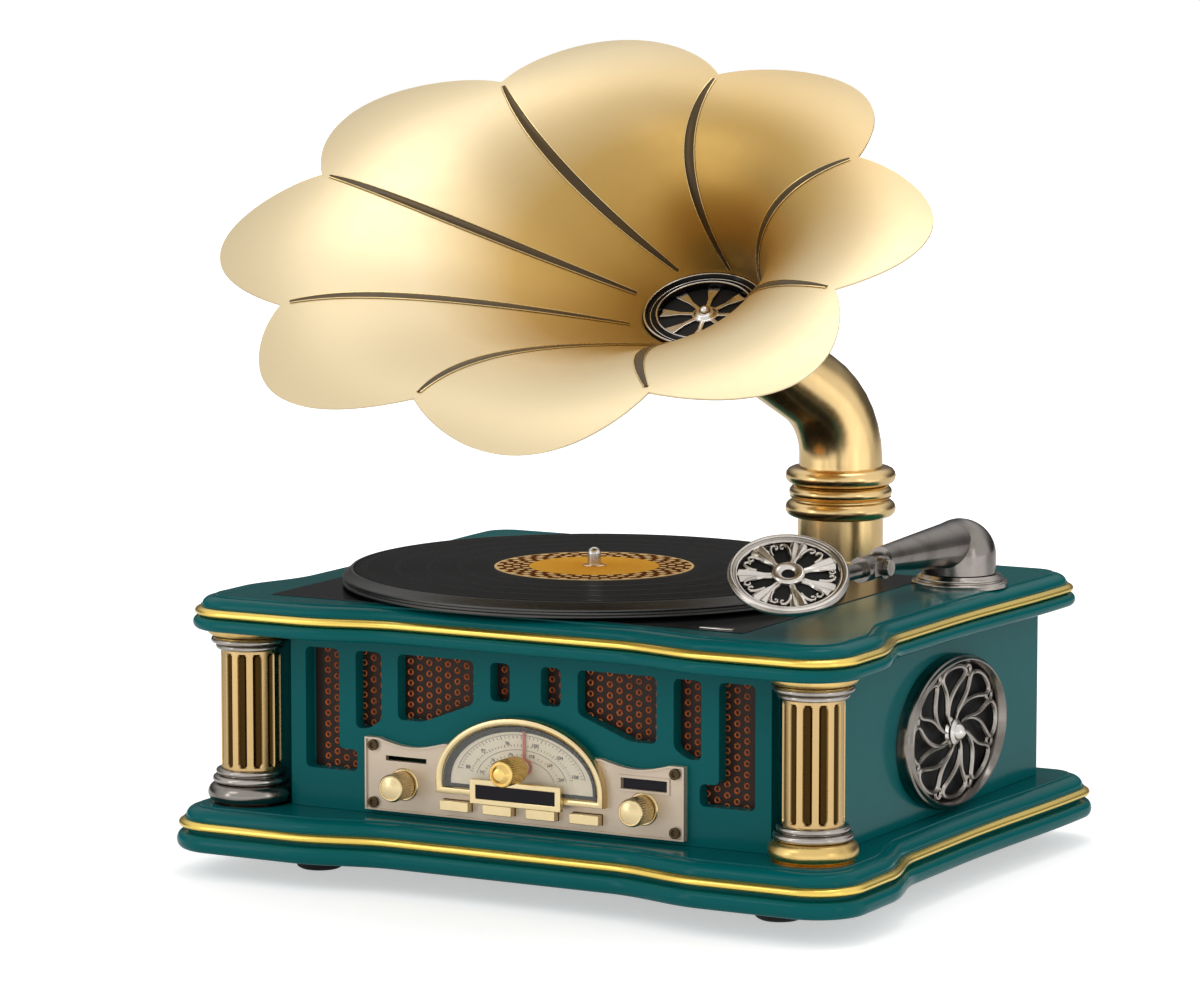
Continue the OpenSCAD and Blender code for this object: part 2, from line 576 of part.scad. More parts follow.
// Soundbox: its own frame has Z along the normal of its face
box_n = [sin(box_tilt) * cos(-61.3), sin(box_tilt) * sin(-61.3), cos(box_tilt)];
box_at = [arm[0] + box_side, arm[1] - box_reach, deck_z + box_up];
housing_t = 4.4;
module at_soundbox() at_cabinet() translate(box_at) rotate([0, box_tilt, -61.3]) children();
ear_t = 3.5;
ear_r = 5.8;
neck_r = 4;
boss_h = 9.5;
module soundbox_neck() color(pewter) difference() {
    union() {
        at_arm() {
            for (s = [-1, 1]) translate([arm_l, s * (tongue_w / 2 + gap + ear_t / 2), hinge_z]) rotate([90, 0, 0])
                cylinder(r = ear_r, h = ear_t, center = true);
            for (s = [-1, 1]) translate([arm_l, s * (tongue_w / 2 + gap + ear_t / 2) - ear_t / 2, hinge_z - 3.5]) cube([12, ear_t, 7]);
            translate([arm_l + 6, 0, hinge_z]) rotate([0, 90, 0]) cylinder(r = ear_r + 0.6, h = 10);
            translate([arm_l + 12, 0, hinge_z]) rotate([0, 90, 0]) cylinder(r = neck_r, h = box_reach - arm_l - 18);
        }
        at_soundbox() translate([0, 0, -housing_t - boss_h]) cylinder(r = 6.5, h = boss_h);
    }
    at_arm() translate([arm_l, 20, hinge_z]) rotate([90, 0, 0]) cylinder(r = hinge_r + run / 2, h = 40);
    at_soundbox() translate([-40, -40, -housing_t]) cube([80, 80, 30]);
}
module neck_screw() color([0.6, 0.58, 0.55]) at_arm() translate([arm_l, 0, hinge_z]) rotate([90, 0, 0]) {
    translate([0, 0, -tongue_w / 2 - gap - ear_t]) cylinder(r = hinge_r, h = tongue_w + 2 * gap + 2 * ear_t);
    for (s = [-1, 1]) translate([0, 0, s * (tongue_w / 2 + gap + ear_t + 1.5)]) cylinder(r = 4.2, h = 3, center = true);
}
module soundbox_housing() color(pewter) at_soundbox() {
    rotate_extrude() polygon([[box_r - 4.6, -housing_t], [box_r - 1, -housing_t], [box_r, -housing_t + 1.2], [box_r, -1.2],
        [box_r - 1.2, -0.2], [box_r - 2.6, 0], [box_r - 3.6, -0.6], [box_r - 4.6, -1.6]]);
    translate([0, 0, -housing_t]) cylinder(r = box_r - 4, h = 1);
}
// A leaf that flares outwards, with a notched end
function leaf(r0, r1, w0, w1) = [[r0, -w0], [r0 + (r1 - r0) * 0.45, -w0 * 1.05], [r0 + (r1 - r0) * 0.75, -w1 * 0.75], [r1, -w1], [r1 - 1, 0],
    [r1, w1], [r0 + (r1 - r0) * 0.75, w1 * 0.75], [r0 + (r1 - r0) * 0.45, w0 * 1.05], [r0, w0]];
module soundbox_rosette() color([0.72, 0.7, 0.66]) at_soundbox() {
    translate([0, 0, -housing_t + 1]) difference() {
        cylinder(r = 8.2, h = 3.6);
        translate([0, 0, 1]) cylinder(r = 3.4, h = 4);
    }
    translate([0, 0, -2.6]) linear_extrude(1.4) for (i = [0 : 7]) polygon(turned(leaf(7, box_r - 5.2, 1.7, 5), 45 * i + 12));
}
module stylus() color([0.75, 0.75, 0.75]) at_soundbox() translate([box_r - 5.4, 0, -housing_t - 0.7]) cylinder(r = 0.8, h = 0.7, $fn = 24);

// Horn post, collar and elbow
module at_post() at_cabinet() translate([post[0], post[1], 0]) children();
spigot_r = 19;
collar_top = deck_z + collar_z;
step_z = collar_top - 17.5;
module horn_socket() color(brass) at_post() difference() {
    translate([0, 0, deck_z]) cylinder(r = post_r + 1.3, h = 3);
    translate([0, 0, deck_z - 1]) cylinder(r = post_r + run, h = 5);
}
module horn_post() color(brass) at_post() difference() {
    union() {
        translate([0, 0, deck_z]) cylinder(r = post_r, h = step_z - deck_z);
        translate([0, 0, deck_z]) cylinder(r = post_r - 1.4, h = collar_z);
    }
    translate([0, 0, deck_z - 1]) cylinder(r = spigot_r + run, h = collar_z + 2);
}
module horn_collar() color(brass) at_post() difference() {
    translate([0, 0, step_z]) rotate_extrude() polygon(concat(
        [[post_r - 2, 0], [post_r + 1.5, 0]],
        [for (a = [-75 : 25 : 75]) [bead_r - 4.6 + 4.6 * cos(a), 5 + 4.6 * sin(a)]],
        [[post_r + 3, 10], [post_r + 4.2, 11], [post_r + 4.7, 13.7], [post_r + 4.2, 16.4], [post_r + 3, 17.5], [post_r - 2, 17.5]]));
    translate([0, 0, step_z - 1]) cylinder(r = post_r - 1.4 + run, h = 20);
}
lift = 0.2;
elbow_base = collar_top + lift;
bell_ph = -76.3;
bell_th = 30.4;
rim_n = [sin(bell_th) * cos(bell_ph), sin(bell_th) * sin(bell_ph), cos(bell_th)];
horn_ph = -113.7;
horn_h = [cos(horn_ph), sin(horn_ph), 0];
bend_z = elbow_base + 14;
tube_r = 22.4;
neck_end_r = 21;
function bend_point(a) = [post[0], post[1], bend_z] + horn_h * bend_r * (1 - cos(a)) + [0, 0, bend_r * sin(a)];
neck_dir = horn_h * sin(bend_a) + [0, 0, cos(bend_a)];
throat = bend_point(bend_a) + neck_dir * neck_l;
side = [-horn_h[1], horn_h[0], 0];
cup_l = 26;
// Stations along the elbow: centre, direction and radius
stations = concat(
    [[[post[0], post[1], elbow_base + 2], [0, 0, 1], tube_r]],
    [for (i = [0 : 7]) let (a = bend_a * i / 7) [bend_point(a), horn_h * sin(a) + [0, 0, cos(a)], tube_r + (neck_end_r - tube_r) * i / 7]],
    [for (i = [0 : 5]) let (u = i / 5, v = u * u * (3 - 2 * u))
        [throat - neck_dir * cup_l * (1 - u), unit(neck_dir * (1 - v) + rim_n * v), neck_end_r + (throat_r + 1.5 - neck_end_r) * v]]);
function hoop(s, cut, n) = let (e1 = unit(side - s[1] * (side * s[1])), e2 = cross(s[1], e1))
    [for (i = [0 : n - 1]) s[0] + (s[2] - cut) * (e1 * cos(360 * i / n) + e2 * sin(360 * i / n))];
module hose(st, cut, n) {
    m = len(st);
    pts = [for (s = st) each hoop(s, cut, n)];
    faces = concat([[for (i = [0 : n - 1]) i]],
        [for (j = [0 : m - 2]) for (i = [0 : n - 1]) each
            [[j * n + i, (j + 1) * n + (i + 1) % n, j * n + (i + 1) % n], [j * n + i, (j + 1) * n + i, (j + 1) * n + (i + 1) % n]]],
        [[for (i = [n - 1 : -1 : 0]) (m - 1) * n + i]]);
    polyhedron(pts, faces, convexity = 6);
}
module at_throat_local() translate(throat) rotate([0, bell_th, bell_ph]) children();
module horn_elbow() color(brass) at_cabinet() {
    difference() {
        hose(stations, 0, 32);
        hose(concat([[stations[0][0] - [0, 0, 4], [0, 0, 1], tube_r]], stations, [[throat + rim_n * 3, rim_n, throat_r + 1.5]]), sheet_t + 0.3, 32);
        at_throat_local() translate([0, 0, -3]) cylinder(r = 2 * throat_r, h = 20);
    }
    translate([post[0], post[1], 0]) difference() {
        union() {
            translate([0, 0, elbow_base - 24]) cylinder(r = spigot_r, h = 30);
            translate([0, 0, elbow_base]) rotate_extrude() polygon(concat([[spigot_r - 1, 0], [post_r + 1.5, 0]],
                [for (a = [-75 : 25 : 75]) [bead_r - 4.6 + 4.6 * cos(a), 4.8 + 4.6 * sin(a)]],
                [[tube_r + 0.6, 9.6], [spigot_r - 1, 9.6]]));
        }
        translate([0, 0, elbow_base - 25]) cylinder(r = spigot_r - 3, h = 40);
    }
}

// Bell: u runs from 0 at the throat to 1 at the seams' ends, and past 1 at the petals' tips
petals = 8;
steps_per_petal = 8;
rows = 11;
seam_phase = 297.5;
shift_a = 45.4;
bell_mid = petal_tip - 65;
lobe_r = norm([bell_r * cos(22.5) - bell_mid, bell_r * sin(22.5)]);
e1 = unit(cross(rim_n, [0, 0, 1]));
e2 = cross(rim_n, e1);
lat = bell_shift * (e1 * cos(shift_a) + e2 * sin(shift_a));
function reach(psi) = bell_mid * cos(psi) + sqrt(lobe_r * lobe_r - pow(bell_mid * sin(psi), 2));
function u_tip(psi) = (reach(psi) - throat_r) / (bell_r - throat_r);
function bell_point(u, phi, psi) = let (v = 1 - u, r = (throat_r + (bell_r - throat_r) * u) * (1 + 0.03 * u * pow(cos(psi * 4), 2)))
    throat + rim_n * bell_d * (1 - v * v) + lat * (1 - (v > 0 ? pow(v, 2.3) : 0)) + r * (e1 * cos(phi) + e2 * sin(phi));
function petal_psi(k) = 45 * ((k % steps_per_petal) / steps_per_petal) - 22.5;
function bell_node(j, k, t) = let (psi = petal_psi(k), phi = seam_phase + 360 * k / (petals * steps_per_petal),
    u = u_tip(abs(psi)) * j / rows, p = bell_point(u, phi, psi),
    du = bell_point(u + 0.02, phi, psi) - p, dp = bell_point(u, phi + 1, psi) - p, w = unit(cross(du, dp))) p - t * w;
module horn_bell() color(champagne) at_cabinet() {
    n = petals * steps_per_petal;
    m = rows + 1;
    pts = concat([for (j = [0 : rows]) each [for (k = [0 : n - 1]) bell_node(j, k, 0)]],
                 [for (j = [0 : rows]) each [for (k = [0 : n - 1]) bell_node(j, k, sheet_t)]]);
    b = m * n;
    faces = concat(
        [for (j = [0 : rows - 1]) for (k = [0 : n - 1]) let (q = (k + 1) % n) each
            [[j * n + k, (j + 1) * n + q, (j + 1) * n + k], [j * n + k, j * n + q, (j + 1) * n + q],
             [b + j * n + k, b + (j + 1) * n + k, b + (j + 1) * n + q], [b + j * n + k, b + (j + 1) * n + q, b + j * n + q]]],
        [for (k = [0 : n - 1]) let (q = (k + 1) % n) each
            [[k, b + q, q], [k, b + k, b + q],
             [rows * n + k, b + rows * n + q, b + rows * n + k], [rows * n + k, rows * n + q, b + rows * n + q]]]);
    polyhedron(pts, faces, convexity = 10);
}
seam_rows = 12;
seam_t = 0.8;
module horn_seams() color([0.25, 0.17, 0.06]) at_cabinet() for (k = [0 : petals - 1]) {
    phi = seam_phase + 45 * k;
    st = [for (i = [0 : seam_rows]) let (u = 0.03 + 0.93 * i / seam_rows, p = bell_point(u, phi, 22.5),
        du = unit(bell_point(u + 0.02, phi, 22.5) - p), dp = unit(bell_point(u, phi + 1, 22.5) - p), w = unit(cross(du, dp)),
        h = seam_w / 2 * pow(sin(180 * (0.06 + 0.88 * i / seam_rows)), 0.7))
        [p + 0.2 * w, unit(cross(w, du)) * h, seam_t * w]];
    pts = [for (s = st) each [s[0] - s[1], s[0] - s[1] * 0.5 + s[2], s[0] + s[1] * 0.5 + s[2], s[0] + s[1]]];
    m = len(st);
    faces = concat([[3, 2, 1, 0]],
        [for (j = [0 : m - 2]) for (i = [0 : 3]) let (q = (i + 1) % 4) each
            [[j * 4 + i, (j + 1) * 4 + q, (j + 1) * 4 + i], [j * 4 + i, j * 4 + q, (j + 1) * 4 + q]]],
        [[for (i = [0 : 3]) (m - 1) * 4 + i]]);
    polyhedron(pts, faces, convexity = 4);
}
module at_throat() at_cabinet() at_throat_local() children();
ring_in = 24.5;
module throat_ring() color([0.15, 0.15, 0.15]) at_throat() rotate_extrude() polygon([
    [ring_in, -3], [throat_r + 1.5, -3], [throat_r + 1.5, -1.5], [throat_r - 0.5, -1.5], [throat_r - 0.5, 1], [throat_r - 1.4, 1.8], [throat_r - 2.4, 1.2], [ring_in + 2, 0.4],
    [ring_in + 1, 1.2], [ring_in, 0.6]]);
module throat_grille() color([0.8, 0.8, 0.8]) at_throat() {
    translate([0, 0, -3]) linear_extrude(1.4) {
        for (i = [0 : 7]) polygon(turned(leaf(5, ring_in - 0.4, 1.2, 3.6), 45 * i));
        circle(r = 7);
    }
    translate([0, 0, -1.6]) cylinder(r1 = 6, r2 = 4.6, h = 1.6);
    sphere(r = 3, $fn = 32);
}
module horn_driver() color(black) at_throat() {
    translate([0, 0, -5]) cylinder(r = ring_in + 4.5, h = 2);
    translate([0, 0, -13]) cylinder(r1 = 12, r2 = 24, h = 8);
}

// Radio: the plate's face, with a shallow dip in its top edge on each side of the dial
face_y = -box_front - plate_t;
plate_z1 = plate_z0 + plate_h;
dip = 3.5;
function plate_top() = concat(
    [for (i = [0 : 8]) let (u = i / 8) [plate_half_w - 8 - (plate_half_w - 8 - dial_w + 3) * u, plate_z1 - dip * sin(180 * u)]],
    [for (i = [8 : -1 : 0]) let (u = i / 8) [-plate_half_w + 8 + (plate_half_w - 8 - dial_w + 3) * u, plate_z1 - dip * sin(180 * u)]]);
function plate_shape(o) = concat(
    [[-plate_half_w + o, plate_z0 + o], [plate_half_w - o, plate_z0 + o], [plate_half_w - o, plate_z1 - o]],
    [for (p = plate_top()) [p[0], p[1] - o]], [[-plate_half_w + o, plate_z1 - o]]);
slot_size = [24, 2.6];
slot_at = [-68, 65.8];
port_size = [26, 5.6];
port_at = [69.5, 65.1];
screw_x = plate_half_w - 5;
screw_z = [plate_z0 + 4, plate_z1 - 4];
button_gap = 0.3;
function button_x(i) = (i - 2.5) * button_pitch;
knob_shaft_r = 3;
module bore_y(x, z, r, y, l) translate([x, y, z]) rotate([-90, 0, 0]) cylinder(r = r, h = l);
module radio_plate() color(plate_tone) at_cabinet() difference() {
    union() {
        upright(-box_front - plate_t, plate_t) polygon(plate_shape(0));
        upright(face_y - 1, 1) difference() {
            polygon(plate_shape(0));
            polygon(plate_shape(1));
            polygon(arch(-button_gap));
        }
        upright(face_y - 0.8, 0.8) translate([port_at[0] - port_size[0] / 2 - 1.4, port_at[1] - port_size[1] / 2 - 1.4])
            square([port_size[0] + 2.8, port_size[1] + 2.8]);
    }
    upright(face_y - 2, plate_t + 3) translate([slot_at[0] - slot_size[0] / 2, slot_at[1] - slot_size[1] / 2]) square(slot_size);
    upright(face_y - 2, 3.5) translate([port_at[0] - port_size[0] / 2, port_at[1] - port_size[1] / 2]) square(port_size);
    for (i = [1 : 4]) upright(face_y - 2, plate_t + 3)
        translate([button_x(i) - button_w / 2 - button_gap, button_z - button_h / 2 - button_gap])
            square([button_w + 2 * button_gap, button_h + 2 * button_gap]);
    for (s = [-1, 1]) bore_y(s * knob_x, knob_z, knob_shaft_r + run, face_y - 2, plate_t + 3);
    for (s = [-1, 1]) for (z = screw_z) bore_y(s * screw_x, z, 1.5 + run, face_y - 2, plate_t + 3);
    bore_y(tune_x, tune_z, knob_shaft_r + run, face_y - 2, plate_t + 3);
}
module panel_screws() color(bronze) at_cabinet() for (s = [-1, 1]) for (z = screw_z) difference() {
    union() {
        bore_y(s * screw_x, z, 1.5, face_y, plate_t);
        bore_y(s * screw_x, z, 2.8, face_y - 2, 2);
    }
    bore_y(s * screw_x, z, 1.4, face_y - 3, 2);
}
function arch(k, cut = 51.5) = concat([for (i = [0 : 32]) let (a = -11 + 202 * i / 32)
    [(dial_w - k) * cos(a), max(cut, dial_z + (dial_h - k) * sin(a))]]);
module dial_bezel() color(champagne) at_cabinet() {
    upright(face_y - dial_proud, dial_proud) difference() {
        polygon(arch(0));
        polygon([for (p = arch(dial_rim)) [p[0], max(p[1], 55)]]);
    }
}
face_t = 1;
module dial_face() color([0.93, 0.89, 0.75]) at_cabinet() difference() {
    upright(face_y - face_t, face_t) polygon([for (p = arch(dial_rim)) [p[0], max(p[1], 55)]]);
    bore_y(tune_x, tune_z, knob_shaft_r + 1, face_y - 3, 4);
}
glass_t = 1;
module dial_glass() color([0.8, 0.9, 0.9, 0.3]) at_cabinet() difference() {
    upright(face_y - dial_proud + 0.4, glass_t) polygon([for (p = arch(dial_rim)) [p[0], max(p[1], 55)]]);
    bore_y(tune_x, tune_z, tune_r - 1, face_y - dial_proud - 1, dial_proud);
}
frame_size = [52.4, 12.6];
frame_z = 48.4;
window_size = [45.6, 7];
frame_y = face_y - dial_proud;
module display_shape(size) translate([-size[0] / 2, frame_z + frame_size[1] / 2 - size[1] / 2]) square(size);
module display_frame() color(champagne) at_cabinet() difference() {
    union() {
        upright(frame_y - 3, 3) display_shape(frame_size);
        upright(frame_y, dial_proud) translate([-22, frame_z + 0.3]) square([44, 51.5 - frame_z - 0.3]);
    }
    upright(frame_y - 4, 3) display_shape(window_size);
}
module display_window() color([0.08, 0.07, 0.09]) at_cabinet() upright(frame_y - 2.2, 1.2) display_shape(window_size);

// Knobs and buttons
tune_l = 18;
module tuning_knob() color(gilt) at_cabinet() {
    bore_y(tune_x, tune_z, knob_shaft_r, frame_y - 1, dial_proud + plate_t + 9);
    bore_y(tune_x, tune_z, tune_r - 2, frame_y - 5, 5 + dial_proud - 2.4);
    bore_y(tune_x, tune_z, tune_r, frame_y - 3 - tune_l, tune_l - 1);
    translate([tune_x, frame_y - 3 - tune_l, tune_z]) rotate([90, 0, 0]) intersection() {
        translate([0, 0, -tune_r * 1.2]) sphere(r = tune_r * 1.562);
        cylinder(r = tune_r, h = tune_r);
    }
}
pointer_l = 18;
module dial_pointer() color([0.75, 0.4, 0.35]) at_cabinet() upright(face_y - face_t - 1.2, 0.6)
    translate([tune_x, tune_z]) difference() {
        union() {
            circle(r = knob_shaft_r + 1.4);
            translate([-0.7, 0]) square([1.4, pointer_l]);
        }
        circle(r = knob_shaft_r + run);
    }
module small_knob(s) color(plate_tone) at_cabinet() {
    bore_y(s * knob_x, knob_z, knob_shaft_r, face_y - 2, plate_t + 10);
    difference() {
        union() {
            bore_y(s * knob_x, knob_z, knob_r, face_y - knob_l, knob_l - gap);
            bore_y(s * knob_x, knob_z, knob_r - 1.2, face_y - knob_l - 1, 2);
        }
        bore_y(s * knob_x, knob_z, knob_r * 0.5, face_y - knob_l - 2, 1.6);
    }
}
module function_knob() small_knob(-1);
module volume_knob() small_knob(1);
button_out = 4.5;
module push_button(i) color(champagne) at_cabinet() {
    translate([button_x(i) - button_w / 2, face_y - button_out, button_z - button_h / 2]) cube([button_w, button_out + plate_t, button_h]);
    translate([button_x(i) - 2, face_y, button_z - 2]) cube([4, board_gap - button_travel - gap, 4]);
}
module push_button_1() push_button(1);
module push_button_2() push_button(2);
module push_button_3() push_button(3);
module push_button_4() push_button(4);

// Electronics
board_gap = 18;
board_y = face_y + board_gap;
module control_board() difference() {
    union() {
        translate([-86, board_y, plate_z0 + 2]) cube([172, 1.6, 42]);
        for (s = [-1, 1]) for (z = [button_z, tune_z]) bore_y(s * 53, z, 2.5, -box_front, box_front + board_y);
    }
    for (s = [-1, 1]) bore_y(s * knob_x, knob_z, knob_shaft_r + 1, board_y - 1, 4);
}
module amplifier_board() {
    translate([60, 60, base_top + 6]) cube([70, 50, 1.6]);
    for (x = [64, 124]) for (y = [64, 104]) translate([x, y, base_top]) cylinder(r = 2.5, h = 6);
    translate([75, 75, base_top + 7.6]) cube([40, 12, 20]);
}
module circuit_boards() color([0.05, 0.3, 0.1]) at_cabinet() {
    control_board();
    amplifier_board();
}
inlet_r = 5;
socket_x = 100;
socket_z = 60;
module power_inlet() color(black) at_cabinet() difference() {
    union() {
        bore_y(socket_x, socket_z, inlet_r - run, box_rear - rear_wall - 8, rear_wall + 8);
        bore_y(socket_x, socket_z, inlet_r + 2.5, box_rear, 2);
    }
    bore_y(socket_x, socket_z, 2.75, box_rear - 9, 12);
}

base_board();
bottom_panel();
base_gilt_bead();
rubber_feet();
front_panel();
left_side_panel();
right_side_panel();
rear_panel();
top_board();
deck_board();
top_gilt_bead();
grille_mesh();
column_shafts();
column_capitals();
column_bases();
left_rosette();
right_rosette();
side_speakers();
deck_plate();
motor();
bearing_bush();
drive_belt();
motor_pulley();
platter();
spindle();
record();
record_label();
tonearm_flange();
tonearm_tube();
soundbox_neck();
neck_screw();
soundbox_housing();
soundbox_rosette();
stylus();
horn_socket();
horn_post();
horn_collar();
horn_elbow();
horn_bell();
horn_seams();
throat_ring();
throat_grille();
horn_driver();
radio_plate();
dial_bezel();
dial_face();
dial_glass();
display_frame();
display_window();
panel_screws();
tuning_knob();
dial_pointer();
function_knob();
volume_knob();
push_button_1();
push_button_2();
push_button_3();
push_button_4();
circuit_boards();
power_inlet();
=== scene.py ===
"""A tabletop horn gramophone with a built-in radio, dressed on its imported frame.

Sizes are millimetres in the cabinet's own frame, whose zero line across the depth lies a little
behind the frame's origin. Shape.piece turns them into metres in the frame.
"""

import logging
import math
from collections.abc import Callable, Iterable
from dataclasses import dataclass
from enum import Enum

import bmesh
import bpy
from mathutils import Matrix, Vector

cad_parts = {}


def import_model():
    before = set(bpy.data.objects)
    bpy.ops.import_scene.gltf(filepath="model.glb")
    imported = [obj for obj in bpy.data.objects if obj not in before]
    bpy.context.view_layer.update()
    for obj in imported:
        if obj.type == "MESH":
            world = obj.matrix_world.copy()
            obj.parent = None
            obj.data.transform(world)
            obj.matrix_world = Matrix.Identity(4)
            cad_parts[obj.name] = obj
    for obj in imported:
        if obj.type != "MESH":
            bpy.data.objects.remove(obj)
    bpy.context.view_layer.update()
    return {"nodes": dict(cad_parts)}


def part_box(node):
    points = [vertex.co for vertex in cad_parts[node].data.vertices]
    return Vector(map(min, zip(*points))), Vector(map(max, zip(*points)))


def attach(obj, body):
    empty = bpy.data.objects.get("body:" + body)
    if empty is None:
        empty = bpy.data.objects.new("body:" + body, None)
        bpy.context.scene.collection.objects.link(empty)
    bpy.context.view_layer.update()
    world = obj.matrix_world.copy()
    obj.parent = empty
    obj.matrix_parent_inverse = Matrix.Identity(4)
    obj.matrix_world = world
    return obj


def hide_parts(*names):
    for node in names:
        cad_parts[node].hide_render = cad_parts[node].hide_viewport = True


log = logging.getLogger("gramophone")

Colour = tuple[float, float, float]
Corner = tuple[float, float, float]
Point = tuple[float, float]
Nodes = tuple[str, ...]

METRE = 0.001  # metres in a millimetre
WALL_REAR = 143.0  # the rear wall's outer face
DECK = 145.0  # the top of the deck board
FACE = -120.5  # the front face of the radio plate
SPINDLE = (-0.0205, 0.006)  # the turntable's axis in the frame, in metres
PATCHES = 0.06  # how coarse the patches of colour are against the grain
CLOUDING = 0.2  # how coarse the patches of gloss are against the grain
MERGE = 0.002  # points nearer than this are one
BEVEL_TURN = 25.0  # edges that turn by more than this, in degrees, are rounded
CRISP = 32.0  # edges that turn by more than this, in degrees, stay crisp
CRISP_ROUNDED = 20.0  # the same for a piece with rounded edges


def shift_back() -> float:
    """How far the cabinet's zero line lies behind the frame's origin."""
    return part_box("rear_panel")[1].y / METRE - WALL_REAR


class Socket:
    """A value in a shader, with Python's arithmetic."""

    def __init__(self, graph: "Graph", source: bpy.types.NodeSocket) -> None:
        """Holds one output of a node.

        Args:
            graph: the graph that the output belongs to.
            source: the output itself.
        """
        self.graph = graph
        self.source = source

    def __add__(self, other: "Socket | float") -> "Socket":
        """Sum."""
        return self.graph.maths("ADD", self, other)

    def __sub__(self, other: "Socket | float") -> "Socket":
        """Difference."""
        return self.graph.maths("SUBTRACT", self, other)

    def __rsub__(self, other: float) -> "Socket":
        """A number less this value."""
        return self.graph.maths("SUBTRACT", other, self)

    def __mul__(self, other: "Socket | float") -> "Socket":
        """Product."""
        return self.graph.maths("MULTIPLY", self, other)

    def __pow__(self, other: float) -> "Socket":
        """Power."""
        return self.graph.maths("POWER", self, other)


class Graph:
    """The node tree of a material or of the world."""

    def __init__(self, holder: bpy.types.Material | bpy.types.World) -> None:
        """Starts with an empty tree.

        Args:
            holder: what the tree belongs to.
        """
        holder.use_nodes = True
        self.tree = holder.node_tree
        self.tree.nodes.clear()

    def node(self, kind: str, settings: dict[str, object], inputs: dict[int | str, object]) -> bpy.types.Node:
        """Adds a node.

        Args:
            kind: the node's type.
            settings: properties to set first; "stops" fills a colour ramp.
            inputs: values or links by the socket's name or number.

        Returns:
            The node.
        """
        made = self.tree.nodes.new(kind)
        for key, value in settings.items():
            if key == "stops":
                self.fill_ramp(made, value)
            else:
                setattr(made, key, value)
        for key, value in inputs.items():
            if isinstance(value, Socket):
                self.tree.links.new(value.source, made.inputs[key])
            else:
                made.inputs[key].default_value = value
        return made

    @staticmethod
    def fill_ramp(made: bpy.types.Node, stops: list[tuple[float, Colour]]) -> None:
        """Gives a colour ramp its stops.

        Args:
            made: the ramp's node.
            stops: places from 0 to 1, each with its colour.
        """
        ramp = made.color_ramp
        while len(ramp.elements) < len(stops):
            ramp.elements.new(0.5)
        for element, (place, tone) in zip(ramp.elements, stops):
            element.position = place
            element.color = (*tone, 1.0)

    def out(self, made: bpy.types.Node, socket: int | str = 0) -> Socket:
        """One output of a node as a value."""
        return Socket(self, made.outputs[socket])

    def maths(self, operation: str, *values: Socket | float) -> Socket:
        """A Math node on one or two values."""
        return self.out(self.node("ShaderNodeMath", {"operation": operation}, dict(enumerate(values))))

    def place(self) -> Socket:
        """The point on the object, in metres."""
        return self.out(self.node("ShaderNodeTexCoord", {}, {}), "Object")

    def axes(self, point: Socket) -> tuple[Socket, Socket, Socket]:
        """The three parts of a point."""
        parts = self.node("ShaderNodeSeparateXYZ", {}, {0: point})
        return self.out(parts, 0), self.out(parts, 1), self.out(parts, 2)

    def noise(self, point: Socket, scale: float, detail: float = 3.0,
              stretch: Corner | None = None) -> Socket:
        """Soft noise from 0 to 1.

        Args:
            point: where to read it.
            scale: how fine it is, per metre.
            detail: how many finer layers it has.
            stretch: scale along each axis.

        Returns:
            The noise.
        """
        if stretch is not None:
            point = self.out(self.node("ShaderNodeMapping", {}, {"Vector": point, "Scale": stretch}))
        inputs = {"Vector": point, "Scale": scale, "Detail": detail}
        return self.out(self.node("ShaderNodeTexNoise", {}, inputs))

    def blend(self, amount: Socket | float, first: Socket | Colour, second: Socket | Colour) -> Socket:
        """A mix of two colours.

        Args:
            amount: the second colour's share.
            first: the colour at 0.
            second: the colour at 1.

        Returns:
            The mixed colour.
        """
        pair = [tone if isinstance(tone, Socket) else (*tone, 1.0) for tone in (first, second)]
        made = self.node("ShaderNodeMix", {"data_type": "RGBA"}, {0: amount, 6: pair[0], 7: pair[1]})
        return self.out(made, 2)

    def ramp(self, value: Socket, stops: list[tuple[float, Colour]]) -> Socket:
        """A value turned into colours."""
        return self.out(self.node("ShaderNodeValToRGB", {"stops": stops}, {0: value}))

    def step(self, value: Socket, low: float, high: float) -> Socket:
        """A smooth step from 0 at low to 1 at high."""
        smooth = {"interpolation_type": "SMOOTHSTEP"}
        return self.out(self.node("ShaderNodeMapRange", smooth, {0: value, 1: low, 2: high}))

    def bump(self, height: Socket, depth: float) -> Socket:
        """The normal that a height from 0 to 1 bends, where 1 measures depth in metres."""
        inputs = {"Strength": 1.0, "Distance": depth, "Height": height}
        return self.out(self.node("ShaderNodeBump", {}, inputs))

    def radius(self, x: Socket, y: Socket, centre: Point) -> Socket:
        """The distance in metres from an axis through a centre."""
        return ((x - centre[0]) ** 2.0 + (y - centre[1]) ** 2.0) ** 0.5


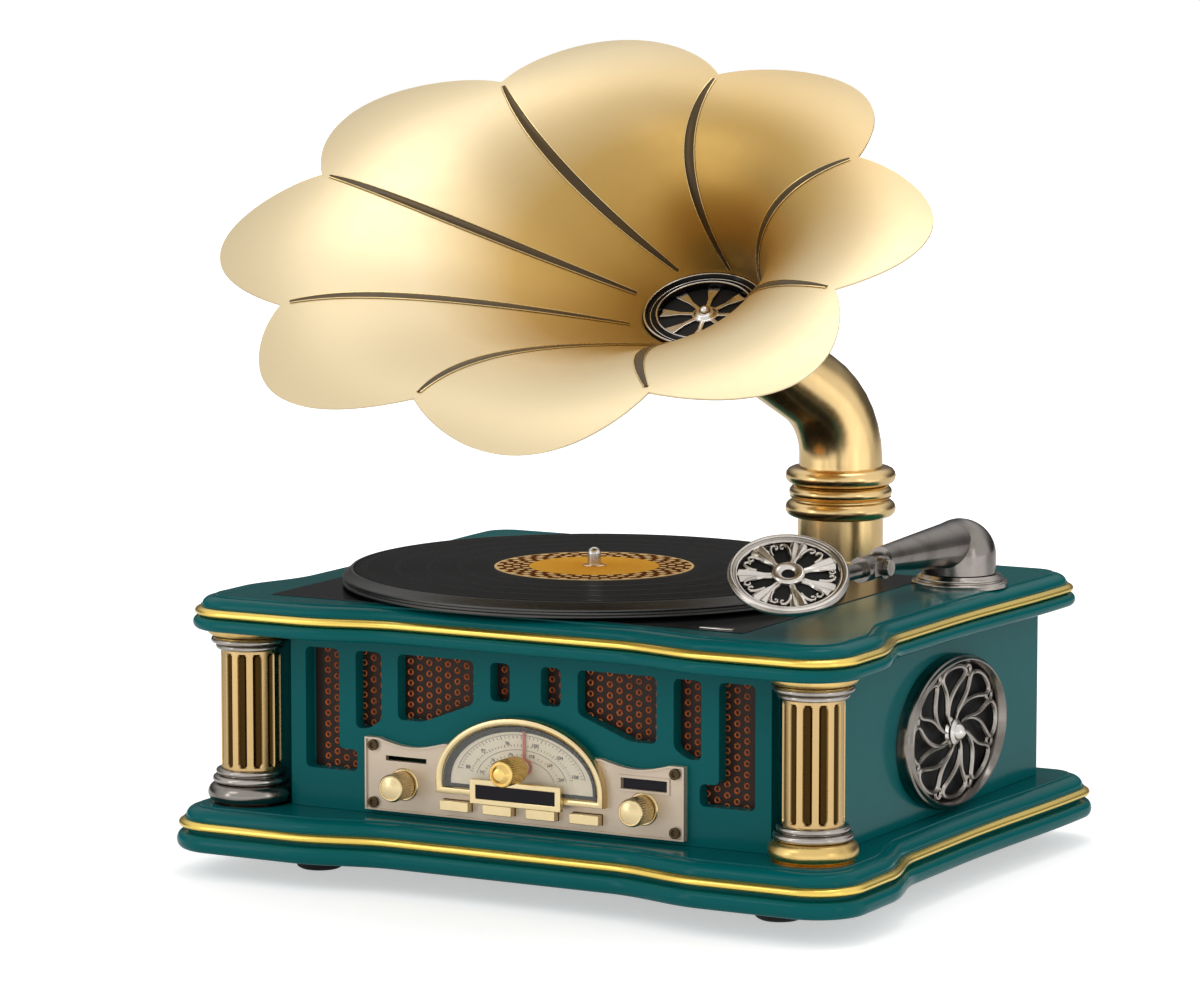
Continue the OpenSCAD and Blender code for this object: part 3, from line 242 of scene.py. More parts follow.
@dataclass(frozen=True)
class Finish:
    """A surface with a slight unevenness in its colour, gloss and relief.

    Attributes:
        shine: how much it mirrors head on, 0.5 being an ordinary gloss.
        uneven: how far its colour and gloss wander, as a share.
        grain: how fine its relief is, per metre.
        relief: how deep its relief is, in metres.
        slot: the frame's slot that it answers to; not used.
    """

    name: str
    colour: Colour
    roughness: float
    metallic: float = 0.0
    coat: float = 0.0
    shine: float = 0.5
    alpha: float = 1.0
    uneven: float = 0.12
    grain: float = 900.0
    relief: float = 0.00001
    slot: str = "teal_lacquer"

    def tint(self, graph: Graph) -> Socket:
        """The colour, a little darker in soft patches."""
        patches = graph.noise(graph.place(), self.grain * PATCHES)
        darker = tuple(part * (1.0 - 2.0 * self.uneven) for part in self.colour)
        return graph.blend(patches, self.colour, darker)

    def gloss(self, graph: Graph) -> Socket:
        """The roughness, which wanders a little."""
        clouds = graph.noise(graph.place(), self.grain * CLOUDING)
        return clouds * (self.uneven * 0.8) + (self.roughness * 0.9)

    def height(self, graph: Graph) -> Socket:
        """The relief's height, from 0 to 1."""
        return graph.noise(graph.place(), self.grain)

    def make(self) -> bpy.types.Material:
        """Builds the material.

        Returns:
            The material, made once for each name.
        """
        name = "finish_" + self.name
        made = bpy.data.materials.get(name)
        if made is not None:
            return made
        made = bpy.data.materials.new(name)
        graph = Graph(made)
        shader = graph.node("ShaderNodeBsdfPrincipled", {}, {
            "Base Color": self.tint(graph),
            "Roughness": self.gloss(graph),
            "Metallic": self.metallic,
            "Coat Weight": self.coat,
            "Coat Roughness": 0.06,
            "Specular IOR Level": self.shine,
            "Alpha": self.alpha,
            "Normal": graph.bump(self.height(graph), self.relief),
        })
        graph.node("ShaderNodeOutputMaterial", {}, {"Surface": graph.out(shader)})
        return made


@dataclass(frozen=True)
class Bell(Finish):
    """Champagne sheet with painted shade: darker gold towards the throat, by the distance from it in metres.
    """

    throat: Corner = (0.0178, 0.056, 0.285)
    # deep and middle are painted shade inside the bell, deepest at the throat
    deep: Colour = (0.46, 0.27, 0.06)
    middle: Colour = (0.50, 0.32, 0.10)
    clouds: float = 9.0
    wander: float = 0.02
    fade: Point = (0.02, 0.22)
    stops: Corner = (0.05, 0.42, 0.85)

    def tint(self, graph: Graph) -> Socket:
        """Painted shade: dark gold at the throat, pale champagne at the petals' tips."""
        point = graph.place()
        away = graph.node("ShaderNodeVectorMath", {"operation": "DISTANCE"}, {0: point, 1: self.throat})
        reach = graph.out(away, "Value") + graph.noise(point, self.clouds) * self.wander
        tones = zip(self.stops, (self.deep, self.middle, self.colour))
        return graph.ramp(graph.step(reach, *self.fade), list(tones))


@dataclass(frozen=True)
class Brushed(Finish):
    """Metal with fine streaks along one axis."""

    along: Corner = (1.0, 1.0, 0.05)
    streaks: float = 0.16

    def height(self, graph: Graph) -> Socket:
        """Fine lines."""
        return graph.noise(graph.place(), self.grain, 4.0, self.along)

    def gloss(self, graph: Graph) -> Socket:
        """Gloss that follows the lines."""
        return graph.noise(graph.place(), self.grain * 0.5, 3.0, self.along) * self.streaks + self.roughness


@dataclass(frozen=True)
class Antique(Finish):
    """Metal with a dark patina that has stayed in patches."""

    patina: Colour = (0.05, 0.04, 0.03)
    share: float = 0.45
    clouds: float = 55.0
    edge: Point = (0.42, 0.72)

    def tint(self, graph: Graph) -> Socket:
        """Bright metal with darker clouds."""
        cover = graph.step(graph.noise(graph.place(), self.clouds, 4.0), *self.edge) * self.share
        return graph.blend(cover, self.colour, self.patina)


@dataclass(frozen=True)
class Fluted(Finish):
    """Column metal: bright ribs and dark flutes, told apart by their distance from the axis."""

    hollow: Colour = (0.045, 0.024, 0.006)
    column: float = 162.0
    across: float = 118.8
    outer: float = 15.4

    def tint(self, graph: Graph) -> Socket:
        """Darkens inside the flutes."""
        x, y, _ = graph.axes(graph.place())
        centre = (self.column * METRE, (shift_back() - self.across) * METRE)
        reach = graph.radius(graph.maths("ABSOLUTE", x), y, centre)
        rib = graph.step(reach, (self.outer - 1.3) * METRE, (self.outer - 0.1) * METRE)
        return graph.blend(rib, self.hollow, self.colour)


@dataclass(frozen=True)
class Vinyl(Finish):
    """A record's face: fine grooves, with a smooth band between two tracks."""

    pitch: float = 0.0011
    track: float = 0.0165
    gap: Point = (0.8, 0.98)
    calm: float = 0.15

    def rings(self, graph: Graph) -> tuple[Socket, Socket]:
        """The distance from the spindle, and 1 in the smooth bands."""
        x, y, _ = graph.axes(graph.place())
        reach = graph.radius(x, y, SPINDLE)
        return reach, graph.step(graph.maths("SINE", reach * (math.tau / self.track)), *self.gap)

    def height(self, graph: Graph) -> Socket:
        """Grooves outside the smooth bands."""
        reach, bands = self.rings(graph)
        return graph.maths("SINE", reach * (math.tau / self.pitch)) * (1.0 - bands)

    def gloss(self, graph: Graph) -> Socket:
        """The smooth bands shine more."""
        return self.roughness - self.rings(graph)[1] * self.calm


@dataclass(frozen=True)
class LabelPrint(Finish):
    """A record label: a plain sunny disc inside a ring of small ornaments, in metres."""

    outer: float = 0.052
    disc: float = 0.034
    ornaments: float = 28.0
    ring: float = 0.0088
    soft: float = 0.0003
    rim: Point = (0.0016, 0.0012)
    cut: Point = (0.1, 0.35)
    glow: Point = (0.006, 0.032)
    clouds: float = 60.0
    cloud_share: float = 0.35
    ink: Colour = (0.16, 0.05, 0.015)
    pale: Colour = (0.98, 0.70, 0.34)
    core: Colour = (0.98, 0.5, 0.06)
    ember: Colour = (0.85, 0.2, 0.02)

    def tint(self, graph: Graph) -> Socket:
        """Rings and rays counted round the spindle."""
        x, y, _ = graph.axes(graph.place())
        reach = graph.radius(x, y, SPINDLE)
        turn = graph.maths("ARCTAN2", y - SPINDLE[1], x - SPINDLE[0])
        band = graph.maths("SINE", (reach - self.disc) * (math.tau / self.ring))
        spots = graph.step(graph.maths("SINE", turn * self.ornaments) * band, *self.cut)
        border = graph.blend(spots, self.ink, self.pale)
        inside = graph.blend(graph.step(reach, *self.glow), self.core, self.colour)
        clouds = graph.noise(graph.place(), self.clouds) * self.cloud_share
        inside = graph.blend(clouds, inside, self.ember)
        face = graph.blend(graph.step(reach, self.disc - self.soft, self.disc + self.soft), inside, border)
        edge = graph.step(reach, self.outer - self.rim[0], self.outer - self.rim[1])
        return graph.blend(edge, face, self.pale)


class Kit(Enum):
    """Every finish on the object."""

    TEAL = Finish("teal_lacquer", (0.0006, 0.13, 0.135), 0.15, shine=0.09, uneven=0.05, relief=0.000004)
    GILT = Finish("gilt_bead", (0.93, 0.66, 0.13), 0.24, metallic=0.85, coat=0.3, uneven=0.04, slot="gilt")
    OLD_GILT = Antique("old_gilt", (0.74, 0.52, 0.19), 0.26, metallic=1.0, patina=(0.22, 0.13, 0.04),
                       slot="gilt")
    RIBS = Fluted("fluted_bronze", (0.56, 0.385, 0.175), 0.26, metallic=1.0, slot="antique_bronze")
    PEWTER = Antique("pewter", (0.42, 0.385, 0.35), 0.2, metallic=1.0, share=0.4, slot="pewter")
    DARK_PEWTER = Antique("dark_pewter", (0.27, 0.245, 0.225), 0.17, metallic=1.0, slot="pewter")
    BRIGHT = Finish("bright_steel", (0.72, 0.69, 0.65), 0.2, metallic=1.0, slot="bright_steel")
    BRASS = Brushed("polished_brass", (0.9, 0.64, 0.3), 0.15, metallic=1.0, relief=0.000004,
                    slot="polished_brass")
    BELL = Bell("champagne_sheet", (0.70, 0.575, 0.36), 0.46, metallic=0.9, relief=0.000004,
                slot="champagne_sheet")
    NICKEL = Antique("nickel", (0.66, 0.62, 0.57), 0.2, metallic=1.0, share=0.25, slot="bright_steel")
    SEAM = Antique("dark_seam", (0.07, 0.042, 0.012), 0.4, metallic=0.6, slot="champagne_sheet")
    SEAM_EDGE = Finish("seam_edge", (0.85, 0.66, 0.33), 0.25, metallic=1.0, slot="champagne_sheet")
    PLATE = Brushed("champagne_plate", (0.68, 0.56, 0.43), 0.32, metallic=0.45, along=(0.05, 1.0, 1.0),
                    slot="champagne_plate")
    KNOB = Finish("gilt_knob", (0.80, 0.64, 0.36), 0.24, metallic=1.0, slot="champagne_plate")
    GOLD = Finish("gold_knob", (0.86, 0.60, 0.2), 0.2, metallic=1.0, slot="gilt")
    BLACK = Finish("black_gloss", (0.005, 0.005, 0.006), 0.16, shine=0.12, uneven=0.05, slot="black_gloss")
    RIM = Brushed("platter_rim", (0.09, 0.088, 0.085), 0.3, metallic=0.9, along=(1.0, 1.0, 8.0),
                  slot="black_gloss")
    VINYL = Vinyl("vinyl", (0.009, 0.0075, 0.007), 0.38, shine=0.05, relief=0.00009, slot="black_gloss")
    LABEL = LabelPrint("label_print", (1.0, 0.56, 0.08), 0.55, shine=0.0, slot="label_paper")
    CARD = Finish("dial_card", (0.95, 0.85, 0.66), 0.5, shine=0.2, uneven=0.04, slot="dial_card")
    INK = Finish("dial_ink", (0.11, 0.07, 0.05), 0.5, slot="dial_card")
    NEEDLE = Finish("pointer_red", (0.62, 0.16, 0.10), 0.4, slot="dial_card")
    MESH = Finish("mesh_dark", (0.022, 0.009, 0.005), 0.55, metallic=0.5, slot="black_plastic")
    COPPER = Finish("copper_eyelet", (0.92, 0.27, 0.08), 0.35, metallic=0.4, slot="black_plastic")
    MATT = Finish("matt_black", (0.01, 0.01, 0.01), 0.6, shine=0.2, relief=0.00004, slot="black_plastic")
    RUBBER = Finish("foot_rubber", (0.02, 0.02, 0.021), 0.75, relief=0.00005, slot="rubber_black")
    WINDOW = Finish("display_dark", (0.012, 0.010, 0.015), 0.12, shine=0.12, uneven=0.02,
                    slot="black_plastic")
    GLASS = Finish("dial_window", (0.9, 0.92, 0.88), 0.05, coat=1.0, alpha=0.07, uneven=0.01,
                   slot="clear_window")
    STEEL = Brushed("motor_case", (0.55, 0.55, 0.55), 0.35, metallic=1.0, slot="motor_steel")
    BOARD = Finish("board_green", (0.02, 0.19, 0.07), 0.45, slot="circuit_board")


class Shape:
    """A mesh in the making, in millimetres."""

    def __init__(self, mesh: bmesh.types.BMesh | None = None) -> None:
        """Starts empty, or from a mesh."""
        self.mesh = mesh or bmesh.new()

    @classmethod
    def surface(cls, across: int, along: int, place: Callable[[float, float], Vector]) -> "Shape":
        """A grid that is laid into place by a formula.

        Args:
            across: how many faces it has in its first direction.
            along: how many faces it has in its second direction.
            place: where a point of the grid goes, from two numbers between 0 and 1.

        Returns:
            The shape, its doubled seam points merged.
        """
        made = cls()
        bmesh.ops.create_grid(made.mesh, x_segments=across, y_segments=along, size=1.0)
        for vert in made.mesh.verts:
            vert.co = place((vert.co.x + 1.0) / 2.0, (vert.co.y + 1.0) / 2.0)
        return made.close()

    @classmethod
    def lathe(cls, profile: list[Point], steps: int = 96) -> "Shape":
        """A profile spun about Z.

        Args:
            profile: radii and heights.
            steps: how many faces it has around.

        Returns:
            The turned shape.
        """
        made = cls()
        verts = [made.mesh.verts.new((reach, 0.0, level)) for reach, level in profile]
        edges = [made.mesh.edges.new(pair) for pair in zip(verts, verts[1:])]
        bmesh.ops.spin(made.mesh, geom=verts + edges, cent=(0, 0, 0), axis=(0, 0, 1), dvec=(0, 0, 0),
                       angle=math.tau, steps=steps, use_merge=True, use_duplicate=False)
        return made.close()

    @classmethod
    def slab(cls, outline: list[Point], low: float, high: float) -> "Shape":
        """A flat outline made thick along Z.

        Args:
            outline: its corners.
            low: its lower face.
            high: its upper face.

        Returns:
            The slab.
        """
        made = cls()
        face = made.mesh.faces.new([made.mesh.verts.new((x, y, low)) for x, y in outline])
        grown = bmesh.ops.extrude_face_region(made.mesh, geom=[face])
        top = [item for item in grown["geom"] if isinstance(item, bmesh.types.BMVert)]
        bmesh.ops.translate(made.mesh, vec=(0, 0, high - low), verts=top)
        return made.close()

    @classmethod
    def block(cls, low: Corner, high: Corner) -> "Shape":
        """A box between two corners.

        Args:
            low: the corner with the least coordinates.
            high: the corner with the greatest.

        Returns:
            The box.
        """
        made = cls()
        bmesh.ops.create_cube(made.mesh, size=1.0)
        bmesh.ops.scale(made.mesh, vec=Vector(high) - Vector(low), verts=made.mesh.verts)
        bmesh.ops.translate(made.mesh, vec=(Vector(low) + Vector(high)) / 2.0, verts=made.mesh.verts)
        return made

    def close(self) -> "Shape":
        """Merges doubled points and turns the faces outwards."""
        bmesh.ops.remove_doubles(self.mesh, verts=self.mesh.verts, dist=MERGE)
        bmesh.ops.recalc_face_normals(self.mesh, faces=self.mesh.faces)
        return self

    def cap(self) -> "Shape":
        """Closes the open ends."""
        loose = [edge for edge in self.mesh.edges if len(edge.link_faces) == 1]
        bmesh.ops.holes_fill(self.mesh, edges=loose, sides=0)
        return self.close()

    def turn(self, matrix: Matrix) -> "Shape":
        """Moves and turns the whole shape."""
        bmesh.ops.transform(self.mesh, matrix=matrix, verts=self.mesh.verts)
        return self

    def bevel(self, width: float) -> "Shape":
        """Rounds the sharp edges by a width."""
        sharp = [edge for edge in self.mesh.edges if edge.calc_face_angle(0.0) > math.radians(BEVEL_TURN)]
        bmesh.ops.bevel(self.mesh, geom=sharp, offset=width, offset_type="OFFSET", segments=2, profile=0.5,
                        affect="EDGES", clamp_overlap=True, material=-1)
        return self

    def join(self, *others: "Shape") -> "Shape":
        """Takes in copies of other shapes.

        Args:
            others: the shapes.

        Returns:
            The same shape.
        """
        for other in others:
            carried = bpy.data.meshes.new("carried")
            other.mesh.to_mesh(carried)
            self.mesh.from_mesh(carried)
            bpy.data.meshes.remove(carried)
        return self

    def copies(self, places: Iterable[Matrix]) -> "Shape":
        """The shape repeated at several places."""
        return Shape().join(*[Shape(self.mesh.copy()).turn(place) for place in places])

    def piece(self, name: str, body: str, kind: Kit, nodes: Nodes = (), sharp: float = CRISP) -> None:
        """Finishes the mesh as a piece of the object.

        Args:
            name: the piece's name.
            body: the body it rides on.
            kind: its finish.
            nodes: the frame's nodes that it stands for.
            sharp: edges that turn by more than this, in degrees, stay crisp.
        """
        self.turn(Matrix.Scale(METRE, 4) @ Matrix.Translation((0, shift_back(), 0)))
        for face in self.mesh.faces:
            face.smooth = True
        for edge in self.mesh.edges:
            edge.smooth = edge.calc_face_angle(0.0) < math.radians(sharp)
        data = bpy.data.meshes.new(name)
        self.mesh.to_mesh(data)
        self.mesh.free()
        made = bpy.data.objects.new(name, data)
        bpy.context.scene.collection.objects.link(made)
        data.materials.append(kind.value.make())
        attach(made, body)
        if nodes:
            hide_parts(*nodes)
        log.info("%s: %d faces on %s", name, len(data.polygons), body)


def arc(centre: Point, reach: float, start: float, end: float, steps: int = 8) -> list[Point]:
    """Points on a round stretch.

    Args:
        centre: the arc's centre.
        reach: its radius.
        start: the first angle, in degrees.
        end: the last angle, in degrees.
        steps: how many stretches it has.

    Returns:
        The points, ends included.
    """
    angles = [math.radians(start + (end - start) * i / steps) for i in range(steps + 1)]
    return [(centre[0] + reach * math.cos(a), centre[1] + reach * math.sin(a)) for a in angles]


def upright(x: float, y: float, z: float) -> Matrix:
    """A place on the front, where a shape's own Z comes out towards the viewer."""
    return Matrix.Translation((x, y, z)) @ Matrix.Rotation(math.radians(90), 4, "X")


def tube(path: list[Vector], reach: Callable[[float], float], sides: int = 24, ring: bool = False,
         flat: float = 1.0, up: Vector = Vector((0, 0, 1))) -> Shape:
    """A round or flattened bar along a path.

    Args:
        path: the points of its centre line.
        reach: its radius from the share of the path, 0 to 1.
        sides: how many faces it has around.
        ring: whether the path is closed.
        flat: its thickness towards up as a share of its width.
        up: the direction that its frames keep to.

    Returns:
        The shape, its ends closed.
    """
    count = len(path)
    steps = count if ring else count - 1
    frames = []
    for i, point in enumerate(path):
        before = path[(i - 1) % count] if ring else path[max(0, i - 1)]
        after = path[(i + 1) % count] if ring else path[min(count - 1, i + 1)]
        ahead = (after - before).normalized()
        side = ahead.cross(up).normalized()
        frames.append((point, side, side.cross(ahead).normalized()))

    def place(u: float, v: float) -> Vector:
        point, side, top = frames[round(u * steps) % count]
        turn = v * math.tau
        wide = reach(u)
        return point + side * (wide * math.cos(turn)) + top * (wide * flat * math.sin(turn))

    made = Shape.surface(steps, sides, place)
    return made if ring else made.cap()


def hoop(reach: float, level: float, thick: float) -> Shape:
    """A ring of round wire about Z.

    Args:
        reach: the ring's radius.
        level: its height.
        thick: the wire's radius.

    Returns:
        The ring.
    """
    turns = [math.tau * i / 96 for i in range(96)]
    circle = [Vector((reach * math.cos(a), reach * math.sin(a), level)) for a in turns]
    return tube(circle, lambda u: thick, 8, True)


def turned(name: str, body: str, kind: Kit, profile: list[Point], place: Matrix, nodes: Nodes = (),
           steps: int = 96) -> None:
    """Makes a turned piece.

    Args:
        name: the piece's name.
        body: the body it rides on.
        kind: its finish.
        profile: radii and heights.
        place: where its axis stands.
        nodes: the frame's nodes that it stands for.
        steps: how many faces it has around.
    """
    Shape.lathe(profile, steps).turn(place).piece(name, body, kind, nodes)


def carry(node: str, body: str, kind: Kit, rounding: float = 0.0) -> None:
    """Makes a merged and softened copy of one of the frame's nodes.

    Args:
        node: the node.
        body: the body it rides on.
        kind: its finish.
        rounding: how wide its edges are rounded, in millimetres.
    """
    shape = Shape()
    shape.mesh.from_mesh(bpy.data.objects[node].data)
    shape.turn(Matrix.Translation((0, -shift_back(), 0)) @ Matrix.Scale(1 / METRE, 4))
    bmesh.ops.remove_doubles(shape.mesh, verts=shape.mesh.verts, dist=2 * MERGE)
    if rounding > 0:
        bmesh.ops.dissolve_limit(shape.mesh, angle_limit=math.radians(1.0), verts=shape.mesh.verts,
                                 edges=shape.mesh.edges)
        shape.bevel(rounding)
    shape.piece(node + "_finished", body, kind, (node,), CRISP_ROUNDED if rounding else CRISP)


@dataclass
class Board:
    """One of the two moulded boards: its outline, its edge and its gilt bead.

    Attributes:
        bead: the height of the bead's middle.
        roll: how thick the roll under the bead is.
        ear: half its width at the front ears, and ear_front how far they come forward.
        waist: half its width behind the ears.
        rear_wide: half its width at the rear.
        lobe: where the front runs out into the ears, across.
        notch: where the sides draw in to the waist, in depth.
        lip: how far the moulding stands above the deck board.
    """

    node: str
    bead_node: str
    low: float
    high: float
    bead: float
    roll: float
    ear: float
    waist: float
    rear_wide: float
    front: float
    ear_front: float
    rear: float
    ear_round: float
    rear_round: float = 22.0
    lobe: Point = (62.0, 118.0)
    notch: Point = (-99.0, -50.0)
    flare: float = 4.0
    seat: float = -3.0
    bead_high: float = 2.6
    bead_deep: float = 5.0
    inner: float = -16.0
    lip: float = 0.04

    @staticmethod
    def ease(share: float) -> float:
        """A cosine step from 0 to 1."""
        return (1.0 - math.cos(math.pi * share)) / 2.0

    def half(self) -> list[Point]:
        """The outline's right half, from the middle of the front to the middle of the back."""
        shares = [i / 16 for i in range(17)]
        lobe = [(self.lobe[0] + (self.lobe[1] - self.lobe[0]) * u,
                 -self.front - (self.ear_front - self.front) * self.ease(u)) for u in shares]
        corner = arc((self.ear - self.ear_round, self.ear_round - self.ear_front), self.ear_round, -90, 0, 14)
        notch = [(self.ear - (self.ear - self.waist) * self.ease(u),
                  self.notch[0] + (self.notch[1] - self.notch[0]) * u) for u in shares]
        end = self.rear - self.rear_round
        flare = [(self.waist + (self.rear_wide - self.waist) * self.ease(u),
                  self.flare + (end - self.flare) * u) for u in shares]
        back = arc((self.rear_wide - self.rear_round, end), self.rear_round, 0, 90, 16)[1:]
        return [(0.0, -self.front), *lobe, *corner, *notch, *flare, *back, (0.0, self.rear)]

    def outline(self) -> list[tuple[Vector, Vector]]:
        """The whole outline, each point with its outward direction."""
        half = [Vector(point) for point in self.half()]
        points = half + [Vector((-p.x, p.y)) for p in reversed(half[1:-1])]
        count = len(points)
        tangents = [(points[(i + 1) % count] - points[i - 1]).normalized() for i in range(count)]
        return [(p, Vector((t.y, -t.x))) for p, t in zip(points, tangents)]

    def round_it(self, profile: list[Point]) -> Shape:
        """Runs a profile round the outline.

        Args:
            profile: a closed line of reaches beyond the outline and heights.

        Returns:
            The moulding.
        """
        line = self.outline()
        count = len(line)
        size = len(profile)

        def place(u: float, v: float) -> Vector:
            point, out = line[round(u * count) % count]
            reach, level = profile[round(v * size) % size]
            return Vector((*(point + out * reach), level))

        return Shape.surface(count, size, place)

    def edge(self) -> list[Point]:
        """The edge's profile: roll, groove, bead seat, ovolo and a last small step."""
        seat_top = self.bead + self.bead_high
        foot = seat_top + 0.6
        middle = self.low + self.roll / 2
        roll = [(3 * math.cos(a), middle + self.roll / 2 * math.sin(a))
                for a in (math.radians(-90 + 12 * i) for i in range(16))]
        rise = self.high - 1.4 - seat_top
        ovolo = [(-8.2 + 6.4 * math.cos(a), foot + rise * math.sin(a))
                 for a in (math.radians(9 * i) for i in range(11))]
        top = self.high + self.lip
        return [(self.inner, self.low), *roll, (self.seat, self.low + self.roll + 0.1), (self.seat, seat_top),
                (-1.2, seat_top), (-1.2, foot), *ovolo, (-8.9, self.high - 0.8), (-9.0, top),
                (self.inner, top)]

    def build(self) -> None:
        """Makes the moulded frame and the bead."""
        moulding = self.round_it(self.edge())
        moulding.piece(self.node + "_moulding", "cabinet", Kit.TEAL, (self.node,), 24.0)
        bead = [(self.seat + self.bead_deep * math.sin(a), self.bead - self.bead_high * math.cos(a))
                for a in (math.radians(15 * i) for i in range(13))]
        self.round_it(bead).piece(self.bead_node + "_bar", "cabinet", Kit.GILT, (self.bead_node,))


@dataclass
class Column:
    """One fluted column with its capital and base. Profiles are radii and heights."""

    side: int
    torus: Kit
    across: float = 162.0
    front: float = 118.8
    foot: float = 36.0
    top: float = 127.5
    shaft: float = 15.4
    flutes: int = 12
    flute_half: float = 2.25
    flute_deep: float = 2.0
    flute_end: float = 1.8
    shaft_low: float = 53.5
    shaft_high: float = 116.5
    wide: float = 22.6

    def flute(self, u: float, v: float) -> Vector:
        """The shaft's surface, with round-ended flutes.

        Args:
            u: the share of the way round.
            v: the share of the way up.

        Returns:
            The point.
        """
        turn = u * math.tau
        level = self.shaft_low + (self.shaft_high - self.shaft_low) * v
        pitch = math.tau / self.flutes
        off = abs(((turn / pitch) % 1.0) - 0.5) * pitch * self.shaft
        end = min(level - self.shaft_low, self.shaft_high - level) - self.flute_end
        half = self.flute_half
        if end < half:
            half = math.sqrt(max(0.0, half * half - (half - end) ** 2)) if end > 0 else 0.0
        cut = self.flute_deep * math.sqrt(max(0.0, 1 - (off / half) ** 2)) if half > off else 0.0
        reach = self.shaft - cut * half / self.flute_half
        return Vector((reach * math.cos(turn), reach * math.sin(turn), level))

    def build(self, word: str) -> None:
        """Makes the column's pieces.

        Args:
            word: left or right.
        """
        place = Matrix.Translation((self.side * self.across, -self.front, 0.0))
        shaft = Shape.surface(240, 72, self.flute).cap().turn(place)
        shaft.piece(word + "_shaft", "cabinet", Kit.RIBS, ("column_shafts",))
        low = self.top - 7.7
        bowl = [(0, low + 0.1), (17.2, low + 0.1), (18.0, low + 1.2), (17.6, low + 2.6), (18.6, low + 3.3),
                *arc((18.4, low + 7.6), 4.2, -80, 0, 8), (self.wide, self.top), (0, self.top)]
        turned(word + "_capital_bowl", "cabinet", Kit.OLD_GILT, bowl, place, ("column_capitals",))
        rings = [(0, 116.2), (16.6, 116.2), *arc((16.4, 117.7), 1.5, -80, 80, 6), (15.9, 119.4),
                 (18.6, 119.5), *arc((18.9, 121.0), 1.5, -80, 80, 6), (17.0, low + 0.4), (0, low + 0.4)]
        turned(word + "_capital_rings", "cabinet", Kit.PEWTER, rings, place)
        torus = [(0, self.foot), (21.0, self.foot), *arc((17.4, self.foot + 5.3), 5.2, -70, 80, 12),
                 (0, 46.5)]
        turned(word + "_torus", "cabinet", self.torus, torus, place, ("column_bases",))
        base = [(0, 46.3), (18.2, 46.4), *arc((18.2, 48.4), 1.9, -80, 80, 8), (17.0, 50.6), (16.9, 51.0),
                *arc((16.9, 52.3), 1.5, -70, 80, 6), (15.6, 54.1), (0, 54.1)]
        turned(word + "_base_rings", "cabinet", Kit.PEWTER, base, place)


@dataclass
class Grille:
    """The dark net behind the front openings, with a copper eyelet at each crossing.

    Attributes:
        areas: where the openings are: least and greatest distance from the middle, then height.
    """

    y: float = -109.3
    step_x: float = 5.5
    step_z: float = 5.6
    outer: float = 1.9
    inner: float = 0.8
    proud: float = 0.9
    areas: tuple[tuple[float, float, float, float], ...] = (
        (96.0, 126.5, 55.0, 121.0),
        (82.5, 96.0, 78.0, 121.0),
        (28.0, 80.0, 83.0, 121.0),
        (7.0, 22.0, 97.0, 121.0),
    )

    def spots(self) -> list[Matrix]:
        """Where the eyelets sit, in staggered rows."""
        found = []
        for low_x, high_x, low_z, high_z in self.areas:
            for i in range(int(low_x / self.step_x), int(high_x / self.step_x) + 1):
                lift = self.step_z / 2 if i % 2 else 0.0
                for j in range(int(low_z / self.step_z), int(high_z / self.step_z) + 1):
                    x, z = i * self.step_x, j * self.step_z + lift
                    if low_x < x < high_x and low_z < z < high_z:
                        found += [upright(x, self.y, z), upright(-x, self.y, z)]
        return found

    def build(self) -> None:
        """Makes the net and its eyelets."""
        carry("grille_mesh", "cabinet", Kit.MESH)
        middle = (self.outer + self.inner) / 2
        eyelet = Shape.lathe([(self.outer, 0), (middle, self.proud), (self.inner, 0)], 10)
        eyelet.copies(self.spots()).piece("grille_eyelets", "cabinet", Kit.COPPER, sharp=80.0)


